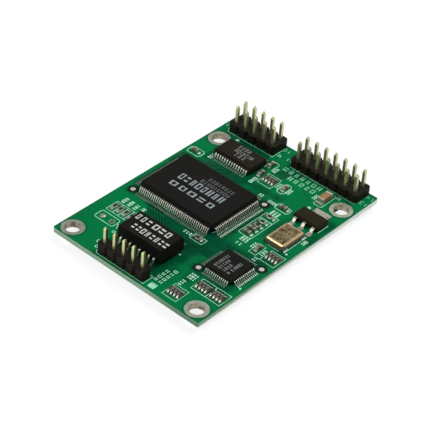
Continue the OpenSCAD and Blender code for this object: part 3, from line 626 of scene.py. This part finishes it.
ceramic("brown_ceramic", (66, 60, 42), (98, 88, 64), 0.45)
ceramic("white_ceramic", (206, 202, 190), (232, 228, 216), 0.5)
ceramic("reservoir_ceramic", (112, 76, 44), (156, 114, 76), 0.4)

# %% [markdown]
# ## Who wears what
# The record of the model names a material slot for each node, such as tin for the leads, and the
# finishes above carry the same names. A few nodes look different from others of their slot, and are
# listed with a finish of their own. The meshes stay as they are: only the slots' materials change.

# %% Give every node its finish
OWN = {"driver_body": "warm_epoxy", "regulator_body": "brown_epoxy",
       "left_header_pins": "double_pin_gold", "right_header_pins": "double_pin_gold",
       "alignment_targets": "target_tin", "oscillator_contacts": "solder",
       "regulator_leads": "tab_tin", "regulator_pads": "tab_tin",
       "array_ends": "bright_tin", "array_pads": "bright_tin",
       "reservoir_body": "reservoir_ceramic"}
slot_of = {part["node"]: part["material_slot"] for part in frame["record"]["subparts"]}
for node, slot_name in slot_of.items():
    for slot in nodes[node].material_slots:
        slot.material = finishes[OWN.get(node, slot_name)].material
print("nodes finished:", len(slot_of), "of which", len(OWN), "with a finish of their own")

# %% [markdown]
# ## Trees that make geometry
# Much of what covers a board is one small thing repeated, or a line of constant width, and Geometry
# Nodes make such things by rule. A tree is built once, with named inputs, and then runs on any bare
# mesh of points and edges. The modifier's inputs are set by their identifiers before the object is
# first evaluated, in metres, and the result becomes a plain mesh, so no modifier is kept.

# %% A helper for Geometry Nodes
class Rule(Wiring):
    """A Geometry Nodes tree with named inputs: sizes in millimetres, and perhaps a seed."""

    def __init__(self, name, **sizes):
        super().__init__(bpy.data.node_groups.new(name, "GeometryNodeTree"))
        self.sizes, self.identifiers = sizes, {}
        add = self.tree.interface.new_socket
        kinds = {label: "Int" if label == "seed" else "Float" for label in sizes}
        for label, kind in {"Geometry": "Geometry", **kinds, "finish": "Material"}.items():
            made = add(label, in_out="INPUT", socket_type="NodeSocket" + kind)
            self.identifiers[label] = made.identifier
        add("Geometry", in_out="OUTPUT", socket_type="NodeSocketGeometry")
        self.start = self.tree.nodes.new("NodeGroupInput")
        self.end = self.tree.nodes.new("NodeGroupOutput")

    def __getitem__(self, label):
        """One of the tree's inputs, as a Signal."""
        return Signal(self, self.start.outputs[label])

    def close(self, geometry):
        """Ends the tree: instances are made real and get the material."""
        real = self.node("GeometryNodeRealizeInstances", None, {0: geometry})
        done = self.node("GeometryNodeSetMaterial", None, {0: real, "Material": self["finish"]})
        self.feed(self.end.inputs[0], done)
        print("tree", self.tree.name, "has", len(self.tree.nodes), "nodes")

    def make(self, name, points, edges, finish, slot="board_laminate", **sizes):
        """Runs the tree on points and edges and makes a plain mesh; sizes go before its own."""
        lines = bpy.data.meshes.new(name + "_lines")
        lines.from_pydata(points, edges, [])
        draft = bpy.data.objects.new(name + "_lines", lines)
        scene.collection.objects.link(draft)
        modifier = draft.modifiers.new("rule", "NODES")
        modifier.node_group = self.tree
        for label, size in {**self.sizes, **sizes}.items():
            modifier[self.identifiers[label]] = size if label == "seed" else size * MM
        modifier[self.identifiers["finish"]] = finishes[finish].material
        ready = draft.evaluated_get(bpy.context.evaluated_depsgraph_get())
        mesh = bpy.data.meshes.new_from_object(ready)
        mesh.name = name
        draft.modifiers.remove(modifier)
        bpy.data.objects.remove(draft)
        piece = bpy.data.objects.new(name, mesh)
        scene.collection.objects.link(piece)
        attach(piece, "root")
        print(name, "has", len(mesh.polygons), "faces")
        return piece


print("a rule can", [name for name in vars(Rule) if name[0] != "_"])

# %% [markdown]
# ## A tree that draws ribbons
# The white outlines round the parts, the strokes of the pin numbers and the tracks under the mask
# are all lines of constant width, so one tree draws them: it turns bare edges into curves and
# sweeps a flat rectangle along them. The curves' normals point up, so that the ribbon lies flat
# round every bend.

# %% The ribbon tree
INK = 0.02  # mm, how thick printed ink is
ON_MASK = 0.005  # mm from the mask to the middle of the ink, which sinks in a little

ribbon = Rule("ribbon", width=0.15, thickness=INK)
lines = ribbon.node("GeometryNodeMeshToCurve", None, {0: ribbon["Geometry"]})
upright = ribbon.node("GeometryNodeSetCurveNormal", {"mode": "Z_UP"}, {0: lines})
section = ribbon.node("GeometryNodeCurvePrimitiveQuadrilateral", None,
                      {"Width": ribbon["width"], "Height": ribbon["thickness"]})
ribbon.close(ribbon.node("GeometryNodeCurveToMesh", None,
                         {0: upright, "Profile Curve": section, "Fill Caps": True}))


def as_mesh(paths, z=ON_MASK):
    """Points and edges of paths in board millimetres; one that ends where it began is closed."""
    points, edges = [], []
    for path in paths:
        closed = path[0] == path[-1]
        path = path[:-1] if closed else path
        first = len(points)
        points += [spot(x, y, z) for x, y in path]
        edges += [(first + i, first + i + 1) for i in range(len(path) - 1)]
        if closed:
            edges.append((len(points) - 1, first))
    return points, edges


# %% [markdown]
# ## The printed outlines
# White ink on the mask shows where each part goes: a frame round every chip part, brackets round
# the headers with one corner cut at pin 1, and short bars beside the oscillator. Printed through a
# screen, its lines are all the same width. The ink is a real skin of a fiftieth of a millimetre, so
# it catches the light. The green shows through it, most of all in thin print, so there are three
# strengths of it.

# %% The ink
def ink(name, pale, worn, roughness=0.5):
    """Printed ink, pale where it lies thick and worn where the ground shows through."""
    f = Finish(name)
    gaps = f.noise(0.3, 3)
    f.set(Base_Color=f.blend(worn, pale, ((gaps - 0.34) * 5).held()),
          Roughness=roughness + gaps * 0.2)
    f.relief(gaps, 0.004)


ink("silk_ink", (142, 204, 170), (98, 172, 136))
ink("silk_ink_thick", (186, 226, 202), (140, 198, 168))
ink("silk_ink_thin", (116, 184, 148), (72, 148, 112))

# %% Frames round the parts
def frame_path(x0, y0, x1, y1, cut=0.0):
    """A closed frame; its corners are cut by that much."""
    if not cut:
        return [(x0, y0), (x1, y0), (x1, y1), (x0, y1), (x0, y0)]
    return [(x0 + cut, y0), (x1 - cut, y0), (x1, y0 + cut), (x1, y1 - cut), (x1 - cut, y1),
            (x0 + cut, y1), (x0, y1 - cut), (x0, y0 + cut), (x0 + cut, y0)]


def ring_path(x, y, radius, sides=16):
    """A closed path round a point."""
    turns = [i * math.tau / sides for i in range(sides)] + [0]
    return [(x + radius * math.cos(a), y + radius * math.sin(a)) for a in turns]


outlines = [
    frame_path(18.15, 40.95, 21.65, 44.8),  # array beside the line driver
    frame_path(23.0, 41.3, 24.7, 44.7, 0.4),  # lone capacitor beside it
    [(17.9, 45.8), (17.9, 48.3), (17.5, 48.7), (16.4, 48.7), (16.0, 48.3), (16.0, 45.8)],
    frame_path(0.75, 38.05, 4.25, 40.3, 0.4),  # capacitor at the left edge
    frame_path(20.9, 17.3, 24.1, 19.05),  # resistor at the processor's corner
    frame_path(3.1, 11.8, 9.55, 15.1),  # group of four beside the transformer
    [(4.8, 11.8), (4.8, 15.1)], [(6.3, 11.8), (6.3, 15.1)], [(7.9, 11.8), (7.9, 15.1)],
    frame_path(3.0, 8.45, 8.05, 11.0, 0.3),  # spare two-hole place
    [(8.3, 10.0), (9.1, 8.7)],
    frame_path(28.5, 1.3, 32.1, 5.1),  # array at the near edge
    frame_path(31.35, 6.4, 38.65, 10.1), [(35.0, 6.4), (35.0, 10.1)],  # pair of arrays
    frame_path(34.95, 22.4, 38.55, 26.2),  # array under the oscillator
    frame_path(31.8, 22.7, 33.6, 26.0),  # capacitor beside it
    frame_path(26.3, 25.85, 29.65, 32.3), frame_path(26.3, 32.5, 29.65, 34.5),  # column of parts
    frame_path(26.2, 36.95, 29.6, 38.75, 0.3),  # capacitor at its far corner
    frame_path(30.85, 43.8, 33.0, 49.0, 0.3),  # reservoir capacitor
    [(37.75, 37.1), (37.75, 40.4)],  # beside the regulator
    [(37.05, 28.5), (37.05, 33.2)], [(33.0, 27.0), (36.0, 27.0)],  # beside the oscillator
    [(22.4, 21.8), (23.25, 21.8), (23.25, 22.8)],  # processor's corner bracket
    ring_path(9.4, 3.45, 0.38), ring_path(10.3, 2.05, 0.34), ring_path(9.4, 7.6, 0.3),
]
print(len(outlines), "frames, bars and rings")

# %% The header brackets
brackets = [
    [(1.2, 53.9), (1.2, 51.7), (2.4, 49.6), (14.9, 49.6), (14.9, 53.9)],
    [(18.4, 53.9), (18.4, 51.7), (20.0, 49.75), (36.8, 49.75), (36.8, 53.9)],
    [(24.2, 0.6), (24.2, 3.4), (11.7, 3.4), (11.1, 2.8), (11.1, 1.2), (11.6, 0.6), (24.2, 0.6)],
]
silk_outlines = ribbon.make("silk_outlines", *as_mesh(outlines + brackets), "silk_ink", width=0.2)
low = min(v.co.z for v in silk_outlines.data.vertices)
high = max(v.co.z for v in silk_outlines.data.vertices)
print("ink skin from", round((low - board_high.z) / MM, 3), "to",
      round((high - board_high.z) / MM, 3), "mm")

# %% [markdown]
# ## Pin numbers
# A few plain numbers beside the headers say which pin is which. Text objects would do, but a screen
# printer's numbers are single strokes of one width, so they are the ribbon again: each digit is a
# path on a small grid. They are read from the far side, so they stand on their heads here.

# %% Pin numbers as strokes
DIGITS = {
    "0": [[(0, 4), (2, 8), (5, 8), (7, 4), (5, 0), (2, 0), (0, 4)]],
    "1": [[(3, 0), (3, 8), (1, 6)]],
    "2": [[(0, 6), (1, 8), (5, 8), (6, 6), (6, 5), (0, 0), (6, 0)]],
    "3": [[(0, 8), (6, 8), (3, 5), (5, 4), (6, 2), (4, 0), (1, 0), (0, 1)]],
    "4": [[(5, 0), (5, 8), (0, 3), (7, 3)]],
    "9": [[(6, 5), (4, 4), (1, 4), (0, 6), (1, 8), (4, 8), (6, 7), (6, 3), (3, 0)]],
}
DIGIT_HEIGHT = 0.95  # mm
GRID_TALL, GRID_HALF, GRID_STEP = 8, 3, 9  # a digit's height and half width, and their spacing


def number(text, x, y):
    """Paths of a number whose middle is at x, y; it is read from the far side."""
    cell = DIGIT_HEIGHT / GRID_TALL
    strokes = []
    for i, digit in enumerate(text):
        shift = (i - (len(text) - 1) / 2) * GRID_STEP - GRID_HALF
        strokes += [[(x - (a + shift) * cell, y - (b - GRID_TALL / 2) * cell) for a, b in path]
                    for path in DIGITS[digit]]
    return strokes


pin_numbers = [("1", 0.75, 51.3), ("2", 0.75, 53.6), ("9", 15.75, 51.2), ("10", 15.75, 53.5),
               ("1", 17.75, 51.4), ("13", 38.2, 51.3), ("14", 38.2, 53.6)]
strokes = sum((number(*place) for place in pin_numbers), [])
ribbon.make("silk_numbers", *as_mesh(strokes), "silk_ink")

# %% [markdown]
# ## Rows of printed marks
# Beside each part runs a row of very small print. Here it is made of plain marks: a frame, two
# upright bars or two lying bars, which have the same grain from a little way off. A second tree
# makes such rows. It steps along an edge, picks one of the three marks for each step, turns it
# along the edge and scales it to the wanted size times a random width, whose seed is an input. The
# chips' tops are printed by the same tree.

# %% The print tree
printer = Rule("print_row", letter=0.4, gap=0.16, height=0.7, thickness=INK, seed=3)
rows = printer.node("GeometryNodeMeshToCurve", None, {0: printer["Geometry"]})
steps = printer.node("GeometryNodeCurveToPoints", {"mode": "LENGTH"},
                     {"Curve": rows, "Length": printer["letter"] + printer["gap"]})
block = printer.node("GeometryNodeMeshCube", None, {"Size": (1, 1, 1)})


def mark(*bars):
    """One mark of a unit's size; each bar is its middle x, y and its width and height."""
    blocks = [printer.node("GeometryNodeTransform", None,
                           {0: block, "Translation": (x, y, 0), "Scale": (wide, tall, 1)})
              for x, y, wide, tall in bars]
    whole = printer.node("GeometryNodeJoinGeometry", None, {0: blocks})
    return printer.node("GeometryNodeGeometryToInstance", None, {0: whole})


marks = [mark((-0.37, 0, 0.26, 1), (0.37, 0, 0.26, 1), (0, 0.41, 0.5, 0.18), (0, -0.41, 0.5, 0.18)),
         mark((-0.3, 0, 0.34, 1), (0.3, 0, 0.34, 1)),
         mark((0, 0.3, 1, 0.26), (0, -0.3, 1, 0.26))]
choice = printer.node("GeometryNodeJoinGeometry", None, {0: marks})
along = printer.node("FunctionNodeAlignRotationToVector", {"axis": "X", "pivot_axis": "Z"},
                     {"Vector": steps.sibling("Tangent")})
# A Random Value node has a pair of ends for each type: 2 and 3 for sizes, 4 and 5 for counts.
wide = printer.node("FunctionNodeRandomValue", {"data_type": "FLOAT"},
                    {2: 0.7, 3: 1.1, "Seed": printer["seed"]}, 1)
which = printer.node("FunctionNodeRandomValue", {"data_type": "INT"},
                     {4: 0, 5: len(marks) - 1, "Seed": printer["seed"]}, 2)
scale = printer.node("ShaderNodeCombineXYZ", None, {
    "X": wide * printer["letter"], "Y": printer["height"], "Z": printer["thickness"]})
placed = {"Points": steps, "Instance": choice, "Pick Instance": True, "Instance Index": which,
          "Rotation": along, "Scale": scale}
printer.close(printer.node("GeometryNodeInstanceOnPoints", None, placed))

# %% Short rows beside the parts
def print_rows(name, rows, finish, letter, z=ON_MASK, slot="board_laminate", **sizes):
    """Rows reach from x0, y0 to x1, y1 in board millimetres, at height z above the mask."""
    points, edges = [], []
    for i, (x0, y0, x1, y1) in enumerate(rows):
        start, end = spot(x0, y0, z), spot(x1, y1, z)
        inset = (end - start).normalized() * letter / 2 * MM
        points += [start + inset, end - inset]
        edges.append((2 * i, 2 * i + 1))
    printer.make(name, points, edges, finish, slot, letter=letter, **sizes)


SHORT_ROWS = [
    (17.3, 39.6, 17.3, 41.7), (22.4, 42.1, 22.4, 43.9), (25.2, 42.2, 25.2, 43.9),
    (18.55, 45.7, 18.55, 47.3), (5.85, 39.6, 5.85, 41.3), (18.7, 18.15, 20.6, 18.15),
    (4.0, 15.6, 4.0, 17.3), (5.55, 15.6, 5.55, 17.3), (7.1, 15.6, 7.1, 17.3),
    (8.7, 16.4, 8.7, 17.4), (29.1, 5.4, 29.1, 7.2), (29.1, 8.1, 29.1, 9.9),
    (29.95, 8.1, 29.95, 9.9), (34.3, 21.2, 34.3, 22.4), (34.3, 23.4, 34.3, 25.3),
    (31.4, 24.0, 31.4, 25.8), (28.0, 24.6, 29.8, 24.6), (28.2, 23.1, 29.5, 23.1),
    (28.0, 25.4, 29.7, 25.4), (26.9, 35.8, 28.8, 35.8), (26.9, 35.0, 28.8, 35.0),
    (24.1, 37.75, 26.2, 37.75), (21.3, 38.05, 22.3, 38.05), (21.3, 36.8, 22.3, 36.8),
    (30.0, 44.9, 30.0, 46.6), (33.1, 48.8, 34.1, 48.8), (37.95, 31.9, 37.95, 33.4),
]
print_rows("silk_labels", SHORT_ROWS, "silk_ink_thick", 0.42, gap=0.1, height=0.84, seed=3)

# %% Longer rows on the free green
print_rows("silk_rows", [(29.3, 48.5, 19.2, 48.5), (28.9, 46.7, 21.9, 46.7)], "silk_ink_thin", 1.0,
           gap=0.35, height=1.3, seed=21)
print_rows("silk_columns", [(25.0, 3.0, 25.0, 7.0), (26.25, 3.0, 26.25, 8.0)], "silk_ink", 0.72,
           gap=0.2, height=0.85, seed=5)

# %% [markdown]
# ## Printed dots and openings in the mask
# A dot marks pin 1 of a part, and round each bright alignment target the mask is left open, so that
# a placement machine sees it against dark bare sheet. Both are thin discs. The third tree puts a
# low drum on each point, and thirty-two sides are enough for a circle of a millimetre. The square
# patch of ink near the single header is one short, wide ribbon.

# %% Discs: the tree, the dots and the patch
disc = Rule("disc", radius=0.4, thickness=INK)
drum = disc.node("GeometryNodeMeshCylinder", None,
                 {"Vertices": 32, "Radius": disc["radius"], "Depth": disc["thickness"]})
points = disc.node("GeometryNodeMeshToPoints", None, {0: disc["Geometry"]})
disc.close(disc.node("GeometryNodeInstanceOnPoints", None, {"Points": points, "Instance": drum}))

for name, radius, places in (
        ("silk_dots_small", 0.26, [(37.7, 27.35), (38.15, 13.05), (23.2, 12.05)]),
        ("silk_dots_large", 0.42, [(31.35, 42.05), (5.9, 48.7)])):
    disc.make(name, [spot(x, y, ON_MASK) for x, y in places], [], "silk_ink", radius=radius)
ribbon.make("silk_patch", *as_mesh([[(25.1, 1.52), (26.7, 1.52)]]), "silk_ink", width=1.5)

# %% Bare sheet round the targets
OPENING = 1.12  # mm, the radius of an opening in the mask
IN_OPENING = 0.004  # mm, a hair lower than the ink


def bare_sheet():
    """Dark sheet whose cloth shows, since no mask covers it."""
    f = Finish("bare_sheet", Specular_IOR_Level=0.1)
    cloth = weave(f, 14)
    f.set(Base_Color=f.blend((2, 14, 9), (14, 30, 20), cloth * 0.6 + f.noise(0.3) * 0.4),
          Roughness=0.5 + cloth * 0.2)
    f.relief(cloth, 0.01)


bare_sheet()
disc.make("target_openings", [spot(x, y, IN_OPENING) for x, y in TARGETS], [], "bare_sheet",
          radius=OPENING)

# %% [markdown]
# ## Marks on the chips
# Chips are marked in pale ink or by laser, in a few rows, and rows of the same plain marks give
# their tops that scale and tone. They are written from each body's own middle and lie on its top,
# which is read from the model, so they would follow if a chip were made thicker.

# %% Inks of the chips
ink("chip_ink_white", (184, 184, 178), (128, 126, 122))
ink("chip_ink_pale", (130, 140, 144), (84, 90, 92))
ink("chip_ink_grey", (110, 114, 110), (74, 77, 74))
ink("chip_ink_faint", (78, 82, 80), (50, 52, 50))
ink("lid_ink", (40, 28, 12), (70, 54, 30), 0.7)
ON_CASE = 0.004  # mm from a case's top to the middle of the ink on it


def print_on(node, name, rows, finish, letter, **sizes):
    """Rows that are written from the middle of a node's top, in millimetres."""
    x, y, z = middle(node)
    print_rows(name, [(x + a, y + b, x + c, y + d) for a, b, c, d in rows], finish, letter,
               z + ON_CASE, slot_of[node], **sizes)

# %% Rows on the processor
print_on("processor_body", "processor_print_large", [(6.3, 0.3, -5.6, 0.3)], "chip_ink_pale", 1.15,
         gap=0.3, height=2.0, seed=4)
print_on("processor_body", "processor_print_middle", [(6.3, -2.6, -5.6, -2.6)], "chip_ink_pale",
         1.9, gap=0.5, height=1.45, seed=2)
print_on("processor_body", "processor_print_small",
         [(6.2, 2.2, -1.4, 2.2), (6.2, 3.65, -0.5, 3.65)], "chip_ink_faint", 0.62,
         gap=0.2, height=1.0, seed=5)

# %% Rows on the transformer
print_on("transformer_body", "transformer_print_wide", [(4.1, 1.25, -0.5, 1.25)],
         "chip_ink_white", 1.3, gap=0.25, height=1.6, seed=2)
print_on("transformer_body", "transformer_print",
         [(-1.3, 1.25, -5.0, 1.25), (5.7, -1.45, -3.6, -1.45)], "chip_ink_white", 0.85,
         gap=0.25, height=1.6, seed=6)

# %% Rows on the line driver and the network chip
print_on("driver_body", "driver_print",
         [(1.4, 1.55, -1.7, 1.55), (3.2, 0.15, -1.6, 0.15), (2.0, -1.1, -0.6, -1.1)],
         "chip_ink_grey", 0.55, gap=0.14, height=1.05, seed=7)
print_on("netchip_body", "netchip_print",
         [(-1.9, -2.4, -1.9, 1.85), (-0.8, -2.4, -0.8, 0.8), (0.35, -2.4, 0.35, 0.1),
          (1.5, -2.4, 1.5, -0.85), (1.5, -0.45, 1.5, 1.7)],
         "chip_ink_grey", 0.44, gap=0.12, height=0.75, seed=9)

# %% Rows on the resistor arrays and on the oscillator's lid
ARRAYS = [(19.9, 43.05), (30.35, 3.25), (33.1, 8.2), (36.8, 8.2), (36.8, 24.55)]
ROW_HALF = 1.15  # mm, half the length of an array's row
print_rows("array_print", [(x + ROW_HALF, y, x - ROW_HALF, y) for x, y in ARRAYS],
           "chip_ink_grey", 0.5, middle("array_coats")[2] + ON_CASE, slot_of["array_coats"],
           gap=0.28, height=0.62, seed=8)
LID_PITCH = 1.2  # mm from one row on the lid to the next; their lengths vary a little
heights = [1.9 - LID_PITCH * i for i in range(4)]
lid_rows = [(1.5, y, -1.5 + 0.3 * (i % 3), y) for i, y in enumerate(heights)]
print_on("oscillator_lid", "lid_print", lid_rows, "lid_ink", 0.4,
         gap=0.3, height=0.6, thickness=0.016, seed=12)

# %% [markdown]
# ## Tracks under the mask
# The copper tracks are a thirtieth of a millimetre thick, and the mask follows them as low ridges
# of a lighter green. Beside a track the copper is etched away, which leaves a dark gap. A designer
# draws tracks straight with bends of 45 degrees, in buses of equal spacing. A function makes such a
# path between two points, and the ribbon tree sweeps it twice: narrow for the track, and wide and a
# hair deeper for its gaps. The exact routes aren't known, so they follow what the parts need:
# headers to chips, chips to their arrays.

# %% Bent paths
def bent(start, end, share=0.5):
    """A path with one 45 degree run between two straight ones; share says where it begins."""
    (x0, y0), (x1, y1) = start, end
    dx, dy = x1 - x0, y1 - y0
    side, up = math.copysign(1, dx), math.copysign(1, dy)
    if abs(dy) >= abs(dx):
        first = y0 + up * (abs(dy) - abs(dx)) * share
        return [(x0, y0), (x0, first), (x1, first + up * abs(dx)), (x1, y1)]
    first = x0 + side * (abs(dx) - abs(dy)) * share
    return [(x0, y0), (first, y0), (first + side * abs(dy), y1), (x1, y1)]


def bus(count, start, step, end, end_step, share=0.5, axis=0):
    """Several bent paths whose starts and ends step along X, or along Y where axis is 1."""
    def stepped(point, by):
        return (point[0], point[1] + by) if axis else (point[0] + by, point[1])
    return [bent(stepped(start, i * step), stepped(end, i * end_step), share)
            for i in range(count)]


def without_repeats(path, same=0.01):
    """The same path without points that lie on each other, which a ribbon can't follow."""
    kept = [path[0]]
    for p in path[1:]:
        if abs(p[0] - kept[-1][0]) + abs(p[1] - kept[-1][1]) > same:
            kept.append(p)
    return kept


print("a path from 0, 0 to 2, 5 bends at", bent((0, 0), (2, 5))[1:3])

# %% Mask over copper, and mask over the gaps
def masked(name, dark, pale, patch, share, roughness, gloss, ridge=0.0):
    """The green mask again, mottled by a share of pale patches; patch and ridge are in mm."""
    f = Finish(name, IOR=1.5, Specular_IOR_Level=gloss)
    f.set(Base_Color=f.blend(dark, pale, f.noise(patch) * share),
          Roughness=roughness + f.noise(0.6) * 0.08)
    if ridge:
        f.relief(f.noise(0.4), ridge)


masked("mask_over_copper", (0, 78, 46), (2, 96, 56), 2.0, 0.8, 0.25, 0.05, 0.003)
masked("mask_over_sheet", (0, 44, 30), (0, 60, 40), 1.5, 1.0, 0.35, 0.03)

# %% Tracks of the component side
COPPER = 0.03  # mm, how thick a track is
TOP = -0.004  # mm, the height of a track's middle, so that most of it is sunk in
POWER_TOP = -0.003  # mm, over the tracks that it meets
GAP_DEEPER = 0.002  # mm

top_tracks = (
    bus(9, (4.4, 49.6), 1.2, (7.2, 47.7), 0.98)  # left header to line driver
    + bus(12, (6.9, 39.2), 0.7, (6.0, 37.0), 0.6)  # line driver to processor
    + bus(7, (7.1, 19.1), 0.5, (12.9, 15.2), 1.1)  # processor to transformer
    + bus(5, (12.7, 3.5), 2.54, (13.3, 5.0), 1.9)  # transformer to its header
    + bus(4, (31.75, 10.9), 0.5, (31.9, 9.5), 0.8)  # network chip to its arrays
    + bus(4, (33.75, 10.9), 0.5, (35.6, 9.5), 0.8)
    + bus(4, (33.5, 20.4), 0.5, (35.6, 22.9), 0.8)
    + bus(4, (21.4, 49.6), 1.0, (18.7, 44.6), 0.8, 0.3)  # right header to its array
    + bus(3, (25.45, 23.2), 0.35, (25.6, 34.6), 0.35, 0.2)
    + bus(4, (1.1, 22.4), 0.45, (0.9, 37.2), 0.45, 0.7)
    + bus(5, (20.6, 16.4), -0.55, (28.2, 17.4), -0.5, 0.4, 1)  # processor to network chip
)


def lay_tracks(name, paths, z, width, gap_width):
    """Two pieces: the tracks, and the wider gaps a hair nearer to the middle of the board."""
    paths = [without_repeats(path) for path in paths]
    deeper = z + math.copysign(GAP_DEEPER, -BOARD_T / 2 - z)
    ribbon.make(name + "_tracks", *as_mesh(paths, z), "mask_over_copper", width=width,
                thickness=COPPER)
    ribbon.make(name + "_gaps", *as_mesh(paths, deeper), "mask_over_sheet", width=gap_width,
                thickness=COPPER)


lay_tracks("board", top_tracks, TOP, 0.2, 0.55)

# %% Wide copper for power
power = [[(33.2, 42.9), (33.2, 41.6)], [(36.2, 42.9), (36.2, 41.6)], [(31.9, 43.6), (34.7, 42.4)],
         [(28.9, 37.85), (31.4, 37.85), (32.2, 37.0)]]
ribbon.make("board_power", *as_mesh(power, POWER_TOP), "mask_over_copper", width=0.9,
            thickness=COPPER)

# %% [markdown]
# ## Tracks of the far side
# The far side carries no parts: only the soldered tails of the headers, the rings of the holes, and
# long tracks between them. They are the same ribbon, laid a hair below the underside.

# %% Tracks of the far side
UNDER = -BOARD_T - 0.004  # mm, the height of a track's middle, a hair below the underside
far_tracks = (
    bus(10, (4.4, 49.9), 1.15, (8.0, 30.0), 0.8, 0.3)
    + bus(12, (21.6, 49.9), 1.2, (24.0, 36.0), 0.7, 0.35)
    + bus(8, (24.0, 36.0), 0.7, (27.0, 14.0), 0.7, 0.6)
    + bus(8, (8.0, 30.0), 0.8, (14.2, 4.6), 1.1, 0.4)
    + bus(4, (1.3, 41.5), 0.5, (1.3, 9.0), 0.9, 0.8)
    + bus(5, (37.9, 41.5), -0.5, (36.6, 8.4), -0.7, 0.7)
)
lay_tracks("under", far_tracks, UNDER, 0.22, 0.62)

# %% [markdown]
# ## Vias
# Where a track changes sides it goes through a via, a drilled and plated hole under a millimetre
# wide, here covered by the mask. What shows is a low ring with a dimple: a flat section, swept
# round a circle once and put on every point. The points are the ends of the buses and a few rows
# along the edges, the same on both sides.

# %% The via tree
via = Rule("via", radius=0.34, hole=0.14, thickness=0.035)
circle = via.node("GeometryNodeCurvePrimitiveCircle", None,
                  {"Resolution": 20, "Radius": (via["radius"] + via["hole"]) * 0.5})
lip = via.node("GeometryNodeCurvePrimitiveQuadrilateral", None,
               {"Width": via["radius"] - via["hole"], "Height": via["thickness"]})
ring = via.node("GeometryNodeCurveToMesh", None, {0: circle, "Profile Curve": lip})
points = via.node("GeometryNodeMeshToPoints", None, {0: via["Geometry"]})
via.close(via.node("GeometryNodeInstanceOnPoints", None, {"Points": points, "Instance": ring}))

# %% Vias on both sides
# How many, and from where to where, in board millimetres.
VIA_ROWS = [(7, 8.0, 18.5, 12.8, 18.5), (4, 1.1, 22.0, 2.45, 22.0), (5, 20.0, 16.4, 20.0, 14.2),
            (8, 16.6, 16.1, 19.0, 13.6), (3, 25.45, 22.6, 26.15, 22.6), (6, 0.8, 6.6, 0.8, 13.2),
            (7, 38.5, 14.8, 38.5, 19.0), (5, 26.3, 9.9, 26.3, 14.0), (4, 24.2, 5.0, 24.2, 9.6),
            (5, 19.3, 36.9, 22.9, 38.6), (4, 30.9, 35.2, 30.9, 29.0), (3, 27.0, 45.4, 29.2, 44.0),
            (2, 15.6, 48.1, 16.0, 46.6)]
via_places = [(x0 + (x1 - x0) * i / (count - 1), y0 + (y1 - y0) * i / (count - 1))
              for count, x0, y0, x1, y1 in VIA_ROWS for i in range(count)]
for name, z in (("via_rings", TOP), ("under_vias", UNDER)):
    via.make(name, [spot(x, y, z) for x, y in via_places], [], "mask_over_copper")

# %% [markdown]
# ## The size, and the end
# Dressing must not change the part's size. The box of the solids was kept at the start.

# %% The end
import json
